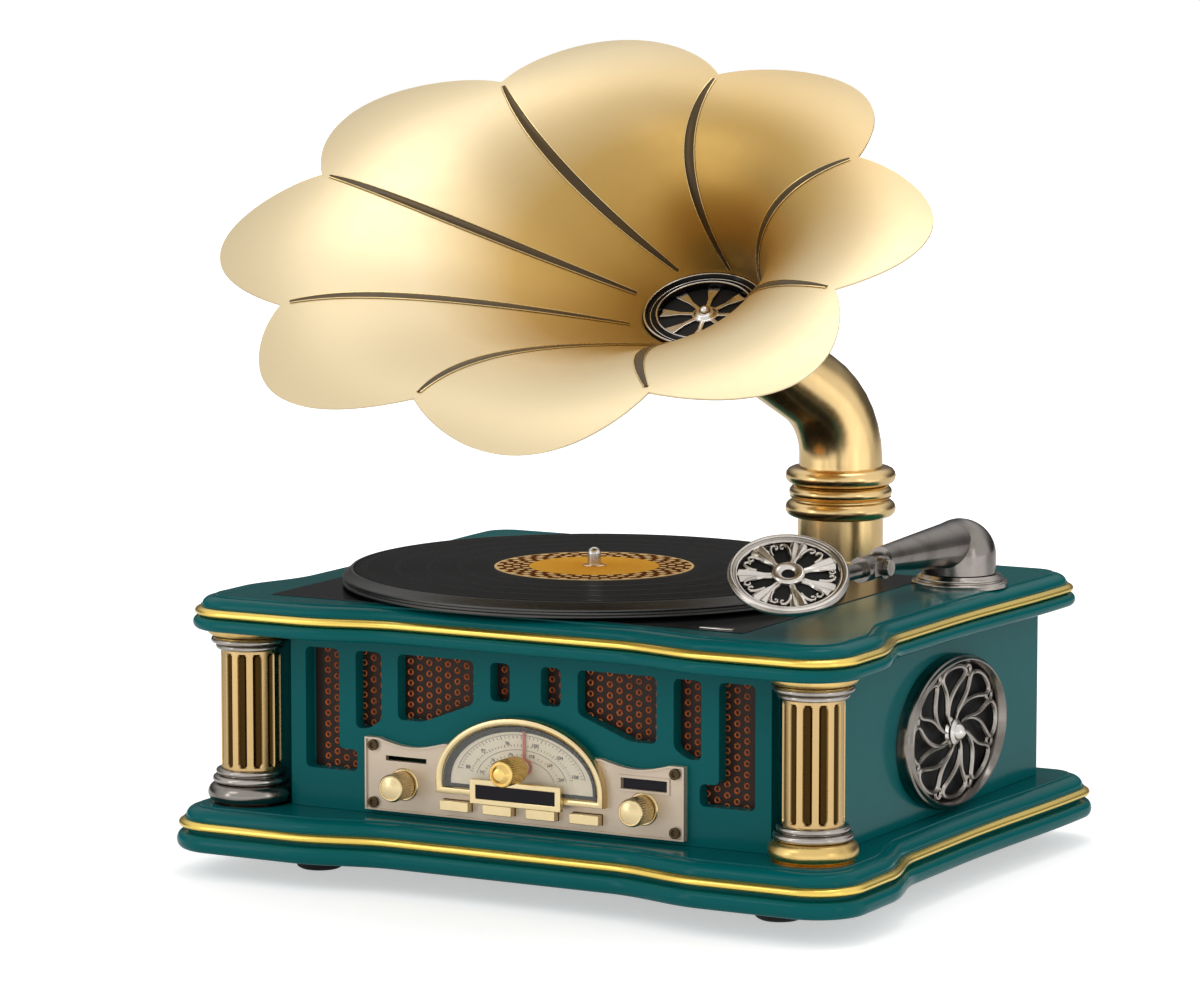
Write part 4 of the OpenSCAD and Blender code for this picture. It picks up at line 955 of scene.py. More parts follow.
@dataclass
class Rosette:
    """A side vent: an oval ring round eight curled petals and a pointed boss.

    Attributes:
        root: where a petal starts, and length how far it reaches, as shares of the oval.
        swell: how far a petal opens, as an angle.
        curl: how far a petal leans round.
    """

    side: int
    word: str
    middle: Point = (28.0, 77.5)
    wide: float = 60.0
    high: float = 39.5
    rim: float = 6.5
    face: float = 165.0
    petals: int = 8
    root: float = 0.15
    length: float = 0.70
    swell: float = 0.40
    curl: float = 1.5

    def at(self) -> Matrix:
        """The rosette's own frame: X to the front or back, Y up, Z outwards."""
        turn = Matrix(((0, 0, self.side, 0), (self.side, 0, 0, 0), (0, 1, 0, 0), (0, 0, 0, 1)))
        return Matrix.Translation((self.side * self.face, *self.middle)) @ turn

    def oval(self, share: float, turn: float, level: float) -> Vector:
        """A point on an oval that is a share of the rosette's size."""
        return Vector((self.wide * share * math.cos(turn), self.high * share * math.sin(turn), level))

    def ring(self) -> Shape:
        """The raised outer ring with its rounded double edge."""
        inner = 1 - self.rim / self.wide
        marks = [(1.0, 0.0), (1.0, 4.5), (0.985, 6.2), (0.965, 6.8), (0.955, 8.0), (0.94, 8.6), (0.925, 8.3),
                 (inner + 0.012, 6.4), (inner, 5.0), (inner, 0.0)]

        def place(u: float, v: float) -> Vector:
            share, level = marks[round(v * len(marks)) % len(marks)]
            return self.oval(share, u * math.tau, level)

        return Shape.surface(120, len(marks), place)

    def loop(self, index: int) -> Shape:
        """One petal's outline, a curled teardrop.

        Args:
            index: which petal.

        Returns:
            The bar along the outline.
        """
        points = []
        count = 44
        for i in range(count):
            u = i / count
            reach = self.root + self.length * math.sin(math.pi * u) ** 0.75
            spread = self.swell * math.sin(math.tau * u) * math.sin(math.pi * u)
            lean = self.curl * (0.85 - reach) ** 2
            points.append(self.oval(reach, math.tau * index / self.petals + spread + lean, 4.2))
        return tube(points, lambda u: 1.35, 8, True, 1.1)

    def trefoil(self, index: int) -> Shape:
        """The small round eye at the rim after a petal.

        Args:
            index: which petal.

        Returns:
            The eye.
        """
        middle = self.oval(0.80, math.tau * (index + 0.5) / self.petals + 0.02, 3.6)
        turns = [math.tau * i / 16 for i in range(16)]
        points = [middle + Vector((3.3 * math.cos(a), 2.6 * math.sin(a), 0)) for a in turns]
        return tube(points, lambda u: 1.0, 6, True)

    def build(self) -> None:
        """Makes the ring, the petals, the boss and the dark cloth behind them."""
        ring = self.ring().turn(self.at())
        ring.piece(self.word + "_rosette_ring", "cabinet", Kit.DARK_PEWTER, (self.word + "_rosette",))
        tracery = Shape()
        for index in range(self.petals):
            tracery.join(self.loop(index), self.trefoil(index))
        tracery.turn(self.at()).piece(self.word + "_rosette_petals", "cabinet", Kit.PEWTER)
        boss = [(0, 1.0), (7.2, 1.0), (7.6, 3.0), (6.2, 4.2), (6.6, 5.6), (4.6, 6.8), (4.2, 8.2), (2.2, 10.2),
                (0, 11.4)]
        turned(self.word + "_rosette_boss", "cabinet", Kit.BRIGHT, boss, self.at(), steps=48)
        cloth = [(0, 0.2), (1, 0.2), (1, 0.6), (0, 0.6)]
        oval = self.at() @ Matrix.Diagonal((self.wide - 3, self.high - 3, 1, 1))
        turned(self.word + "_vent_cloth", "cabinet", Kit.MATT, cloth, oval, steps=64)


@dataclass
class Radio:
    """The radio front: plate, dial, display, knobs and push buttons.

    Attributes:
        arch: half the dial's width and its height above its centre.
        wide: half the scale's width, and tall its height.
        tune: the tuning knob's place on the plate.
    """

    arch: Point = (48.5, 35.3)
    centre: float = 58.0
    wide: float = 40.0
    tall: float = 27.0
    knob_x: float = 69.0
    knob_z: float = 53.0
    tune: Point = (2.0, 68.5)
    buttons: int = 4
    arcs: tuple[float, ...] = (0.94, 0.66, 0.48)
    ticks: tuple[tuple[float, int, float], ...] = ((0.90, 41, 1.1), (0.74, 41, 0.9), (0.56, 25, 0.9))
    numbers: tuple[tuple[float, int, int, float], ...] = ((0.82, 88, 108, 2.7), (0.61, 54, 160, 2.2))

    def arch_line(self, shrink: float, foot: float) -> list[Point]:
        """The dial's arch, drawn in by a margin.

        Args:
            shrink: how far inside the outer line it runs.
            foot: the height of its straight base.

        Returns:
            The outline, anticlockwise.
        """
        wide, tall = self.arch[0] - shrink, self.arch[1] - shrink
        turns = [math.radians(3 * i) for i in range(61)]
        bow = [(wide * math.cos(a), self.centre + tall * math.sin(a)) for a in turns]
        return [(wide, foot), *bow, (-wide, foot)]

    def border(self, outer: list[Point], inner: list[Point], rows: tuple[Point, ...]) -> Shape:
        """A border between two lines of the arch.

        Args:
            outer: its outer line.
            inner: its inner line.
            rows: its profile: shares of the way from the outer to the inner line, and heights.

        Returns:
            The border.
        """
        def place(u: float, v: float) -> Vector:
            i = round(u * len(outer)) % len(outer)
            share, level = rows[round(v * len(rows)) % len(rows)]
            x, z = (a + (b - a) * share for a, b in zip(outer[i], inner[i]))
            return Vector((x, FACE - level, z))

        return Shape.surface(len(outer), len(rows), place)

    def dial(self) -> None:
        """The raised rim round the dial, the dark band inside it, the card and the window."""
        rows = ((0.0, 0.0), (0.0, 3.6), (0.12, 4.6), (0.35, 5.0), (0.65, 4.9), (0.88, 4.2), (1.0, 3.0),
                (1.0, 0.0))
        rim = self.border(self.arch_line(0.0, 51.5), self.arch_line(4.2, 55.0), rows)
        rim.piece("dial_rim", "cabinet", Kit.KNOB, ("dial_bezel",), 40.0)
        rows = ((0.0, 1.0), (0.0, 1.9), (1.0, 1.5), (1.0, 1.0))
        band = self.border(self.arch_line(4.1, 54.9), self.arch_line(7.4, 56.6), rows)
        band.piece("dial_band", "cabinet", Kit.MATT)
        card = Shape.slab(self.arch_line(4.0, 54.0), 0.2, 1.0)
        card.turn(upright(0, FACE, 0)).piece("dial_card_sheet", "cabinet", Kit.CARD, ("dial_face",))
        glass = Shape.slab(self.arch_line(4.3, 55.2), 3.7, 4.5)
        glass.turn(upright(0, FACE, 0)).piece("dial_window_sheet", "cabinet", Kit.GLASS, ("dial_glass",))

    def on_arc(self, reach: float, turn: float, lift: float = 1.0) -> Point:
        """A place on one of the scale's arcs, across and up."""
        return self.wide * reach * math.cos(turn), self.centre + lift + self.tall * reach * math.sin(turn)

    def tick(self, reach: float, turn: float, size: float) -> Shape:
        """A mark that points away from the dial's middle.

        Args:
            reach: which arc it sits on.
            turn: its angle on the arc.
            size: its length.

        Returns:
            The mark.
        """
        x, z = self.on_arc(reach, turn)
        aim = math.atan2(self.tall * reach * math.sin(turn), self.wide * reach * math.cos(turn))
        mark = Shape.block((-size / 2, -0.09, 1.0), (size / 2, 0.09, 1.25))
        return mark.turn(upright(x, FACE, z) @ Matrix.Rotation(aim, 4, "Z"))

    def scale(self) -> None:
        """Tick marks, scale lines and generic numbers on the dial."""
        marks = Shape()
        for reach, count, size in self.ticks:
            for i in range(count):
                turn = math.radians(14 + 152 * (i / (count - 1)))
                marks.join(self.tick(reach, turn, size * (1.9 if i % 5 == 0 else 1.0)))
        for reach in self.arcs:
            places = [self.on_arc(reach, math.radians(12 + 3 * i)) for i in range(53)]
            bow = [Vector((x, FACE - 1.1, z)) for x, z in places]
            marks.join(tube(bow, lambda u: 0.11, 6, up=Vector((0, 1, 0))))
        for reach, first, last, size in self.numbers:
            for share in (i / 5 for i in range(6)):
                place = self.on_arc(reach, math.radians(20 + 140 * share), 0.0)
                marks.join(self.number(str(round(last + (first - last) * share)), size, place))
        marks.piece("dial_scale", "cabinet", Kit.INK, sharp=80.0)

    @staticmethod
    def number(text: str, size: float, place: Point) -> Shape:
        """A printed number on the dial.

        Args:
            text: the digits.
            size: their height.
            place: their middle, across and up.

        Returns:
            The digits as a thin shape.
        """
        curve = bpy.data.curves.new("number", "FONT")
        curve.body = text
        curve.size = size
        curve.extrude = 0.12
        curve.align_x = "CENTER"
        curve.align_y = "CENTER"
        holder = bpy.data.objects.new("number", curve)
        made = Shape()
        made.mesh.from_mesh(holder.to_mesh())
        holder.to_mesh_clear()
        bpy.data.objects.remove(holder)
        bpy.data.curves.remove(curve)
        return made.close().turn(upright(place[0], FACE - 1.12, place[1]))

    @staticmethod
    def knob(reach: float, long: float, dome: float, ribs: int = 36) -> Shape:
        """A fine-ribbed knob that stands along Z.

        Args:
            reach: its radius.
            long: its length.
            dome: how far its end rises.
            ribs: how many ribs it has.

        Returns:
            The knob.
        """
        rows = [(0.0, 0.0), (0.93, 0.0), (0.97, 0.5), (0.97, 1.4), (1.0, 1.8), (1.0, long - 1.2),
                (0.97, long - 0.5), (0.9, long), (0.82, long), (0.8, long - 0.35), (0.74, long - 0.3),
                (0.45, long + dome * 0.75), (0.0, long + dome)]
        around = ribs * 4

        def place(u: float, v: float) -> Vector:
            row = round(v * (len(rows) - 1))
            share, level = rows[row]
            ribbed = 4 <= row <= 5
            wave = 0.025 * (1 if round(u * around) % 4 in (0, 1) else -1) if ribbed else 0.0
            wide = reach * (share + wave)
            turn = u * math.tau
            return Vector((wide * math.cos(turn), wide * math.sin(turn), level))

        return Shape.surface(around, len(rows) - 1, place)

    def build(self) -> None:
        """Makes the radio front."""
        carry("radio_plate", "cabinet", Kit.PLATE, 0.35)
        self.dial()
        self.scale()
        carry("dial_pointer", "tuner", Kit.NEEDLE)
        carry("display_frame", "cabinet", Kit.KNOB, 0.4)
        carry("display_window", "cabinet", Kit.WINDOW)
        port = Shape.block((57.0, -119.4, 62.4), (82.0, -118.9, 67.8))
        port.piece("port_window", "cabinet", Kit.WINDOW)
        carry("panel_screws", "cabinet", Kit.SEAM, 0.2)
        tuner = self.knob(6.8, 17.0, 2.0).turn(upright(self.tune[0], -129.5, self.tune[1]))
        tuner.piece("tuning_cap", "tuner", Kit.GOLD, ("tuning_knob",))
        collar = [(6.6, 0.0), (8.4, 0.0), (8.4, 0.7), (7.9, 1.2), (7.2, 1.2), (6.6, 0.6)]
        knobs = (("function_switch", "function_knob", -1), ("volume_control", "volume_knob", 1))
        for name, node, side in knobs:
            x = side * self.knob_x
            cap = self.knob(7.0, 14.0, 0.5).turn(upright(x, FACE - 0.3, self.knob_z))
            cap.piece(node + "_cap", name, Kit.KNOB, (node,))
            seat = upright(x, FACE + 0.05, self.knob_z)
            turned(node + "_ring", "cabinet", Kit.KNOB, collar, seat, steps=64)
        for index in range(1, self.buttons + 1):
            carry(f"push_button_{index}", f"button_{index}", Kit.KNOB, 0.5)


@dataclass
class Deck:
    """The black deck plate, the turntable and the record. Profiles are radii and heights."""

    axis: Point = (-20.5, -8.0)
    record: float = 125.0
    label: float = 52.0
    under: float = 149.4

    def build(self) -> None:
        """Makes the deck's pieces."""
        place = Matrix.Translation((*self.axis, 0.0))
        carry("deck_plate", "cabinet", Kit.BLACK, 0.6)
        badge = Shape.block((98.0, -117.0, 145.3), (116.0, -113.4, 146.0)).bevel(0.5)
        badge.piece("deck_badge", "cabinet", Kit.BRIGHT)
        under, record, label = self.under, self.record, self.label
        platter = [(3.7, under), (50.0, under), (50.0, 146.9), (55.0, 146.9), (55.0, under), (127.0, under),
                   (127.0, 146.4), (129.6, 146.4), *arc((130.1, 147.3), 0.9, -90, 60, 6), (129.9, 148.4),
                   (129.9, 149.3), *arc((130.1, 150.4), 0.9, -60, 60, 6), (129.6, 151.6), (126.8, 154.3),
                   (125.4, 154.3), (125.4, 153.0), (3.7, 153.0), (3.7, under)]
        turned("platter_turned", "turntable", Kit.RIM, platter, place, ("platter",), 192)
        disc = [(0, 153.02), (record - 0.6, 153.02), (record, 153.5), (record - 0.2, 154.2),
                (record - 1.6, 154.5), (record - 4.0, 154.32), (label + 6, 154.32), (label + 1.5, 154.46),
                (0, 154.46)]
        turned("record_disc", "turntable", Kit.VINYL, disc, place, ("record",), 192)
        paper = [(0, 154.4), (label, 154.4), (label, 154.62), (label - 0.4, 154.7), (0, 154.7)]
        turned("label_disc", "turntable", Kit.LABEL, paper, place, ("record_label",), 128)
        carry("spindle", "turntable", Kit.BRIGHT)
        washer = [(3.6, 154.65), (6.2, 154.65), (6.2, 155.1), (5.4, 155.5), (3.6, 155.6)]
        turned("spindle_washer", "turntable", Kit.BRASS, washer, place, steps=48)


@dataclass
class Tonearm:
    """The arm: a stepped flange, a ball elbow and a tapering tube, then the neck and the soundbox.

    Attributes:
        box: the soundbox's middle, turned by heading and then tilted.
        hub: the radius of its boss.
        opening: the radius of its opening.
        flange: how high the flange is.
    """

    pivot: Point = (147.6, 81.0)
    box: Corner = (142.0, -107.0, 175.0)
    tilt: float = 31.3
    heading: float = -61.3
    leaves: int = 7
    hub: float = 8.0
    opening: float = 25.4
    flange: float = 6.4
    spots: tuple[float, ...] = (-1.0, -0.8, -0.5, -0.22, 0.0, 0.22, 0.5, 0.8, 1.0, 0.5, 0.0, -0.5)
    lifts: tuple[float, ...] = (0.0, 0.7, 1.0, 0.6, 0.15, 0.6, 1.0, 0.7, 0.0, -0.2, -0.2, -0.2)
    scroll: tuple[Point, ...] = (
        (15.5, 2.6), (18.0, 3.5), (20.2, 4.9), (21.6, 6.6), (21.4, 8.2), (20.0, 8.8), (18.8, 8.0),
        (19.0, 6.8))

    def face(self) -> Matrix:
        """The soundbox's own frame, its Z out of the open face."""
        heading, tilt = math.radians(self.heading), math.radians(self.tilt)
        turn = Matrix.Rotation(heading, 4, "Z") @ Matrix.Rotation(tilt, 4, "Y")
        return Matrix.Translation(self.box) @ turn

    def leaf(self, u: float, v: float) -> Vector:
        """A leaf's surface: it flares outwards and has a groove between two ridges.

        Args:
            u: the share of the way round its section.
            v: the share of the way from the hub to the rim.

        Returns:
            The point.
        """
        index = round(u * len(self.spots)) % len(self.spots)
        spot, lift = self.spots[index], self.lifts[index]
        flare = math.sin(math.pi / 2 * max(0.0, v - 0.25) / 0.75)
        reach = self.hub - 0.8 + (self.opening - self.hub + 0.6) * v - abs(spot) * 1.6 * v ** 6
        return Vector((reach, (1.8 + 3.0 * flare) * spot, -2.6 + (1.2 + 0.5 * flare) * lift))

    def curl(self, side: int) -> Shape:
        """The scroll on one side of a leaf's end."""
        path = [Vector((x, side * y, -1.7)) for x, y in self.scroll]
        return tube(path, lambda u: 0.85 - 0.2 * u, 8)

    def soundbox(self) -> None:
        """The leaves, hub and rims over a matt black disc, painted shade in the opening behind them."""
        leaf = Shape.surface(len(self.spots), 16, self.leaf).cap().join(self.curl(-1), self.curl(1))
        turns = [math.tau * i / self.leaves + 0.2 for i in range(self.leaves)]
        front = leaf.copies(Matrix.Rotation(turn, 4, "Z") for turn in turns)
        hub = [(3.3, -3.2), (self.hub, -3.2), (self.hub + 0.4, -1.6), *arc((6.6, -1.2), 1.7, 0, 90, 6),
               (5.0, 0.1), (4.0, -0.3), (3.3, -1.0), (3.3, -3.2)]
        front.join(Shape.lathe(hub, 64), hoop(25.9, -1.5, 0.9), hoop(28.4, -0.25, 0.9))
        front.turn(self.face()).piece("soundbox_front", "soundbox", Kit.NICKEL, ("soundbox_rosette",))
        # painted shade: a matt black disc stands in for the shadow inside the soundbox's opening
        shade = [(0, -3.45), (25.7, -3.45), (25.7, -3.25), (0, -3.25)]
        turned("soundbox_shade", "soundbox", Kit.MATT, shade, self.face(), steps=64)

    def build(self) -> None:
        """Makes the arm and the soundbox."""
        top = DECK + self.flange
        flange = [(8.4, DECK), (25.0, DECK), (25.0, DECK + 1.6), *arc((24.2, DECK + 2.0), 0.9, -10, 100, 5),
                  (22.6, DECK + 3.1), *arc((21.6, DECK + 4.2), 0.9, -40, 90, 5), (20.4, top), (8.4, top),
                  (8.4, DECK)]
        place = Matrix.Translation((*self.pivot, 0.0))
        turned("flange_turned", "cabinet", Kit.PEWTER, flange, place, ("tonearm_flange",))
        carry("tonearm_tube", "tonearm", Kit.DARK_PEWTER)
        carry("soundbox_neck", "soundbox", Kit.DARK_PEWTER, 0.3)
        carry("neck_screw", "soundbox", Kit.PEWTER, 0.25)
        carry("soundbox_housing", "soundbox", Kit.PEWTER, 0.4)
        self.soundbox()
        carry("stylus", "soundbox", Kit.BRIGHT)


@dataclass
class Horn:
    """The swivelling horn: brass neck, petal bell, dark seams and the throat ring.

    Attributes:
        tilt: how far the bell's axis leans from upright, towards heading.
        lean: how far the mouth is drawn aside, towards lean_turn in the throat's frame.
        high: how deep the bell is.
        start: its radius at the throat, and grow how much wider it gets.
        petal_reach: how far out the middle of a petal's round tip lies.
        seam_turn: the angle of the first seam.
        draw: how early the mouth is drawn aside, and ripple how far the petals swell.
        nudge: how far slopes are read along a petal, as a share, and round the bell, as an angle.
    """

    throat: Corner = (17.83, 42.2, 285.25)
    post: Point = (55.5, 128.0)
    tilt: float = 30.4
    heading: float = -76.3
    lean: float = 69.4
    lean_turn: float = 45.4
    high: float = 84.6
    start: float = 32.8
    grow: float = 119.9
    petal_reach: float = 113.0
    petal_round: float = 64.8
    petals: int = 8
    seam_turn: float = 297.5
    sheet: float = 1.2
    seam: float = 5.0
    seam_steps: int = 32
    draw: float = 2.3
    ripple: float = 0.03
    nudge: Point = (0.02, 0.017)

    def frame(self) -> Matrix:
        """The throat's frame, its Z along the bell's mouth direction."""
        tilt, heading = math.radians(self.tilt), math.radians(self.heading)
        out = Vector((math.sin(tilt) * math.cos(heading), math.sin(tilt) * math.sin(heading), math.cos(tilt)))
        first = out.cross(Vector((0, 0, 1))).normalized()
        turn = Matrix((first, out.cross(first), out)).transposed().to_4x4()
        return Matrix.Translation(self.throat) @ turn

    def tip(self, off: float) -> float:
        """How far a petal reaches at an angle off its middle, as a share of the bell's growth."""
        edge = self.petal_round ** 2 - (self.petal_reach * math.sin(off)) ** 2
        reach = self.petal_reach * math.cos(off) + math.sqrt(max(0.0, edge))
        return (reach - self.start) / self.grow

    def off(self, turn: float) -> float:
        """The angle from the middle of the petal."""
        step = math.tau / self.petals
        return (turn - math.radians(self.seam_turn)) % step - step / 2

    def point(self, share: float, turn: float) -> Vector:
        """A point of the bell in the throat's frame.

        Args:
            share: 0 at the throat and about 1 at the petals' tips.
            turn: the angle round the bell.

        Returns:
            The point.
        """
        left = 1.0 - share
        lean = math.radians(self.lean_turn)
        shift = self.lean * (1.0 - max(left, 0.0) ** self.draw)
        swell = 1.0 + self.ripple * share * math.cos(4.0 * self.off(turn)) ** 2
        reach = (self.start + self.grow * share) * swell
        x = shift * math.cos(lean) + reach * math.cos(turn)
        y = shift * math.sin(lean) + reach * math.sin(turn)
        return Vector((x, y, self.high * (1.0 - left ** 2)))

    def slopes(self, share: float, turn: float) -> tuple[Vector, Vector, Vector]:
        """A point of the bell, and the ways along the petal and round the bell from it."""
        here = self.point(share, turn)
        ahead, aside = self.nudge
        return here, self.point(share + ahead, turn) - here, self.point(share, turn + aside) - here

    def sheet_shape(self) -> Shape:
        """The bell's sheet as one closed shell."""
        rows, around = 44, self.petals * 30
        layers = [(j / rows, 0.0) for j in range(rows + 1)]
        layers += [(1.0, self.sheet / 2), *[(j / rows, self.sheet) for j in range(rows, -1, -1)]]
        count = len(layers)

        def place(u: float, v: float) -> Vector:
            turn = math.radians(self.seam_turn) + u * math.tau
            along, depth = layers[round(v * count) % count]
            share = self.tip(abs(self.off(turn))) * along
            here, onward, sideways = self.slopes(share, turn)
            out = onward.cross(sideways).normalized()
            rolled = 0.0 if depth != self.sheet / 2 else 0.3
            inward = self.point(share - self.nudge[0], turn)
            return here - out * depth + (here - inward).normalized() * rolled

        return Shape.surface(around, count, place)

    def seam_line(self, index: int, lift: float) -> list[tuple[Vector, Vector, Vector]]:
        """Stations along one seam: point, half width and lift.

        Args:
            index: which seam.
            lift: how far the strip stands off the sheet.

        Returns:
            The stations from the throat to the notch.
        """
        turn = math.radians(self.seam_turn + 360.0 / self.petals * index)
        made = []
        for i in range(self.seam_steps + 1):
            here, onward, sideways = self.slopes(0.03 + 0.93 * i / self.seam_steps, turn)
            along = onward.normalized()
            out = along.cross(sideways.normalized()).normalized()
            half = self.seam / 1.7 * math.sin(math.pi * (0.06 + 0.88 * i / self.seam_steps)) ** 0.6
            made.append((here + out * 0.05, out.cross(along).normalized() * half, out * lift))
        return made

    @staticmethod
    def strip(line: list[tuple[Vector, Vector, Vector]]) -> Shape:
        """A low dark strip along a seam's stations.

        Args:
            line: the stations.

        Returns:
            The strip.
        """
        section = ((-1.0, 0.0), (-0.75, 0.7), (0.0, 1.0), (0.75, 0.7), (1.0, 0.0), (0.75, -0.2), (0.0, -0.2),
                   (-0.75, -0.2))

        def place(u: float, v: float) -> Vector:
            here, half, lift = line[round(u * (len(line) - 1))]
            share, height = section[round(v * len(section)) % len(section)]
            return here + half * share + lift * height

        return Shape.surface(len(line) - 1, len(section), place).cap()

    def seams(self) -> None:
        """The dark strips over the seams, each with a bright edge on both sides."""
        dark, bright = Shape(), Shape()
        for index in range(self.petals):
            line = self.seam_line(index, 0.7)
            dark.join(self.strip(line))
            for sign in (-1.0, 1.0):
                path = [here + half * sign + lift * 0.55 for here, half, lift in line]
                bright.join(tube(path, lambda u: 0.28, 8, up=Vector((0.3, 0.2, 1))))
        dark.turn(self.frame()).piece("seam_strips", "horn", Kit.SEAM, ("horn_seams",))
        bright.turn(self.frame()).piece("seam_edges", "horn", Kit.SEAM_EDGE)

    def build(self) -> None:
        """Makes the horn's pieces."""
        bell = self.sheet_shape().turn(self.frame())
        bell.piece("bell_sheet", "horn", Kit.BELL, ("horn_bell",), 50.0)
        self.seams()
        collar = [(21.6, 169.6), (24.4, 169.6), *arc((25.0, 174.5), 4.6, -75, 75, 14), (25.9, 179.6),
                  (27.1, 180.6), *arc((24.4, 183.3), 3.2, -55, 55, 8), (25.9, 186.4), (24.8, 187.0),
                  (21.6, 187.0), (21.6, 169.6)]
        place = Matrix.Translation((*self.post, 0.0))
        turned("collar_turned", "cabinet", Kit.BRASS, collar, place, ("horn_collar",))
        carry("horn_socket", "cabinet", Kit.BRASS, 0.5)
        carry("horn_post", "cabinet", Kit.BRASS)
        carry("horn_elbow", "horn", Kit.BRASS)
        rim = [(24.5, -3.0), (34.3, -3.0), (34.3, -1.5), (32.3, -1.5), (32.3, 1.0),
               *arc((31.6, 1.2), 0.7, 0, 150, 6), (30.2, 0.4), (26.6, 0.3),
               *arc((25.3, 0.5), 0.7, 30, 180, 6), (24.5, -3.0)]
        turned("throat_rim", "horn", Kit.BLACK, rim, self.frame(), ("throat_ring",))
        circles = Shape().join(hoop(31.7, 1.5, 0.55), hoop(25.3, 1.0, 0.5), hoop(28.6, 0.2, 0.35))
        circles.turn(self.frame()).piece("throat_circles", "horn", Kit.BRIGHT)
        carry("throat_grille", "horn", Kit.BRIGHT, 0.3)
        carry("horn_driver", "horn", Kit.MATT)


@dataclass
class Rest:
    """The pieces that keep the frame's own shape: node, body, finish and rounding."""

    plan: tuple[tuple[str, str, Kit, float], ...] = (
        ("front_panel", "cabinet", Kit.TEAL, 0.5),
        ("left_side_panel", "cabinet", Kit.TEAL, 0.4),
        ("right_side_panel", "cabinet", Kit.TEAL, 0.4),
        ("rear_panel", "cabinet", Kit.TEAL, 0.4),
        ("bottom_panel", "cabinet", Kit.TEAL, 0.0),
        ("deck_board", "cabinet", Kit.TEAL, 0.0),
        ("rubber_feet", "cabinet", Kit.RUBBER, 0.4),
        ("side_speakers", "cabinet", Kit.MATT, 0.0),
        ("motor", "cabinet", Kit.STEEL, 0.3),
        ("bearing_bush", "cabinet", Kit.BRASS, 0.0),
        ("drive_belt", "cabinet", Kit.RUBBER, 0.0),
        ("motor_pulley", "pulley", Kit.BRASS, 0.0),
        ("circuit_boards", "cabinet", Kit.BOARD, 0.0),
        ("power_inlet", "cabinet", Kit.MATT, 0.2),
    )

    def build(self) -> None:
        """Dresses each of them."""
        for node, body, kind, rounding in self.plan:
            carry(node, body, kind, rounding)


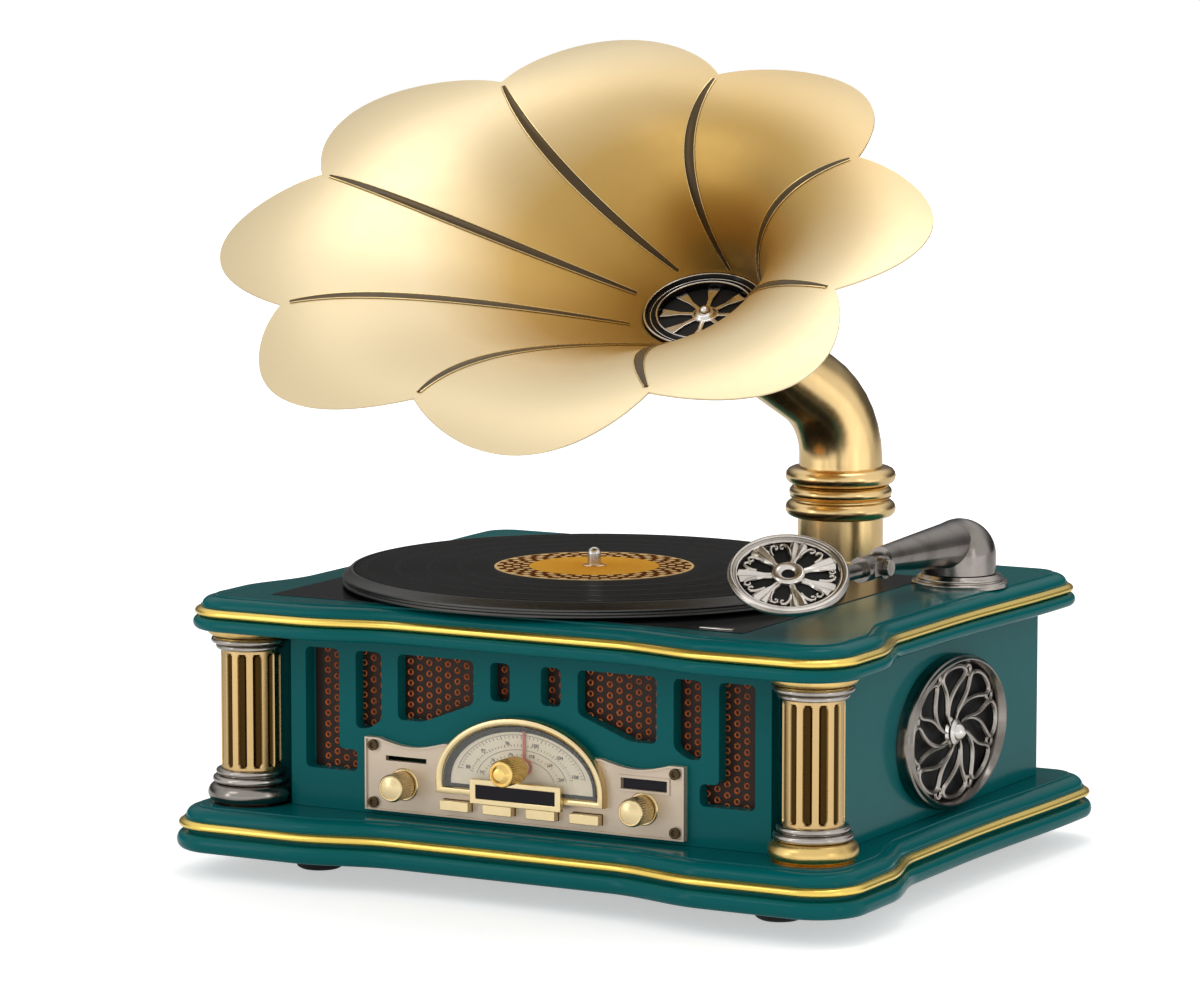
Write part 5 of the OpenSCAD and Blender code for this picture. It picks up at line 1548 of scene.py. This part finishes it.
@dataclass
class Studio:
    """Camera, floor, lamps and world. Sizes in metres, power in watts.

    Attributes:
        fill: how bright the world is as light.
        mirror: how much brighter it is in reflections.
        behind: the way from the camera past the object, along the floor.
        darken: how much darker reflections get low behind the object, between the two bounds
            across, which count along behind, and the two bounds up.
        glow: how bright the floor is to the camera near the object and far from it; dimmer near the object as
            painted shade round it.
        spread: where the floor starts and ends to brighten, the painted shade round the object fading out
            between them.
        front: where the floor stops being bright in reflections, along behind.
    """

    eye: Corner = (1.2627, -2.3355, 0.5354)
    aim: Corner = (-0.02147, 0.014, 0.18815)
    lens: float = 155.365
    fill: float = 0.7
    mirror: float = 0.3
    behind: Point = (-0.477, 0.879)
    darken: float = 0.92
    across: Point = (0.1, 0.5)
    up: Point = (0.15, 0.75)
    paint: float = 0.86
    glow: Point = (0.5, 0.85)
    spread: Point = (0.35, 1.6)
    front: Point = (-0.35, 0.25)
    lamps: tuple[tuple[str, Corner, Point, float], ...] = (
        ("key", (-1.1, -1.7, 1.7), (0.9, 0.9), 4.6),
        ("left_strip", (-1.5, -2.0, 0.55), (0.35, 1.1), 3.4),
        ("right_strip", (2.2, -0.7, 0.5), (0.35, 1.0), 1.8),
        ("top", (0.1, 0.3, 1.9), (0.9, 0.9), 6.5),
    )

    def stand(self, name: str, data: bpy.types.Camera | bpy.types.Light, place: Corner) -> bpy.types.Object:
        """Puts a camera or a lamp somewhere and aims it at the object.

        Args:
            name: its name.
            data: the camera or the lamp.
            place: where it stands.

        Returns:
            Its object.
        """
        made = bpy.data.objects.new(name, data)
        made.location = place
        made.rotation_euler = (Vector(self.aim) - Vector(place)).to_track_quat("-Z", "Y").to_euler()
        bpy.context.scene.collection.objects.link(made)
        return made

    def camera(self) -> None:
        """The photo's viewpoint."""
        data = bpy.data.cameras.new("camera")
        data.lens = self.lens
        data.sensor_width = 36.0
        data.clip_end = 30.0
        bpy.context.scene.camera = self.stand("camera", data, self.eye)

    def lamp(self, name: str, place: Corner, size: Point, power: float) -> None:
        """A soft lamp that faces the object.

        Args:
            name: the lamp's name.
            place: where it hangs.
            size: its width and height.
            power: its power in watts.
        """
        data = bpy.data.lights.new(name, "AREA")
        data.shape = "RECTANGLE"
        data.size, data.size_y = size
        data.energy = power
        self.stand(name, data, place)

    def depth(self, x: Socket, y: Socket) -> Socket:
        """How far a place or a direction lies behind the object."""
        return x * self.behind[0] + y * self.behind[1]

    def ground(self) -> None:
        """A large pale floor that keeps the object's shadow, with painted shade where it glows less near the
        object.
        """
        data = bpy.data.meshes.new("floor")
        sheet = bmesh.new()
        bmesh.ops.create_grid(sheet, x_segments=1, y_segments=1, size=6.0)
        sheet.to_mesh(data)
        sheet.free()
        made = bpy.data.objects.new("floor", data)
        data.materials.append(bpy.data.materials.new("studio_floor"))
        graph = Graph(data.materials[0])
        matt = graph.out(graph.node("ShaderNodeBsdfDiffuse", {}, {"Color": (*[self.paint] * 3, 1.0)}))
        x, y, _ = graph.axes(graph.place())
        # painted shade: the floor's glow is dimmer near the object, deepening its shadow
        far = graph.step(graph.radius(x, y, (0.0, 0.0)), *self.spread)
        lift = graph.blend(far, (self.glow[0],) * 3, (self.glow[1],) * 3)
        glow = graph.out(graph.node("ShaderNodeEmission", {}, {"Color": lift, "Strength": 1.0}))
        rays = graph.node("ShaderNodeLightPath", {}, {})
        front = 1.0 - graph.step(self.depth(x, y), *self.front)
        mirrored = graph.out(rays, "Is Glossy Ray") * front
        seen = graph.maths("MAXIMUM", graph.out(rays, "Is Camera Ray"), mirrored)
        both = graph.out(graph.node("ShaderNodeAddShader", {}, {0: matt, 1: glow}))
        mix = graph.node("ShaderNodeMixShader", {}, {0: seen, 1: matt, 2: both})
        graph.node("ShaderNodeOutputMaterial", {}, {"Surface": graph.out(mix)})
        bpy.context.scene.collection.objects.link(made)

    def world(self) -> None:
        """White to the camera, dimmer as light, and dark in reflections low behind the object."""
        made = bpy.data.worlds.new("studio_world")
        bpy.context.scene.world = made
        graph = Graph(made)
        rays = graph.node("ShaderNodeLightPath", {}, {})
        mirrored = graph.maths("MAXIMUM", graph.out(rays, "Is Glossy Ray"),
                               graph.out(rays, "Is Transmission Ray"))
        x, y, level = graph.axes(graph.out(graph.node("ShaderNodeTexCoord", {}, {}), "Generated"))
        dark = graph.step(self.depth(x, y), *self.across) * (1.0 - graph.step(level, *self.up))
        light = mirrored * (self.mirror - dark * self.darken) + self.fill
        strength = graph.maths("MAXIMUM", graph.out(rays, "Is Camera Ray"), light)
        white = {"Color": (1.0, 1.0, 1.0, 1.0), "Strength": strength}
        glow = graph.node("ShaderNodeBackground", {}, white)
        graph.node("ShaderNodeOutputWorld", {}, {"Surface": graph.out(glow)})

    def build(self) -> None:
        """Sets up everything round the object."""
        self.camera()
        self.ground()
        for lamp in self.lamps:
            self.lamp(*lamp)
        self.world()
        bpy.context.scene.view_settings.view_transform = "Standard"


def boards() -> list[Board]:
    """The base and top boards."""
    return [
        Board("base_board", "base_gilt_bead", low=13.5, high=36.0, bead=26.5, roll=8.6, ear=193.8,
              waist=183.7, rear_wide=188.5, front=142.8, ear_front=153.5, rear=172.5, ear_round=25.0),
        Board("top_board", "top_gilt_bead", low=127.5, high=145.0, bead=136.6, roll=6.5, ear=187.0,
              waist=175.5, rear_wide=181.0, front=136.0, ear_front=146.0, rear=165.0, ear_round=24.0),
    ]


def main() -> None:
    """Builds the gramophone on its frame."""
    logging.basicConfig(level=logging.INFO, format="%(message)s")
    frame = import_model()
    log.info("Frame with %d nodes", len(frame["nodes"]))
    for board in boards():
        board.build()
    Column(-1, Kit.DARK_PEWTER).build("left")
    Column(1, Kit.OLD_GILT).build("right")
    Grille().build()
    Rosette(-1, "left").build()
    Rosette(1, "right").build()
    Radio().build()
    Deck().build()
    Tonearm().build()
    Horn().build()
    Rest().build()
    Studio().build()


if __name__ == "__main__":
    main()
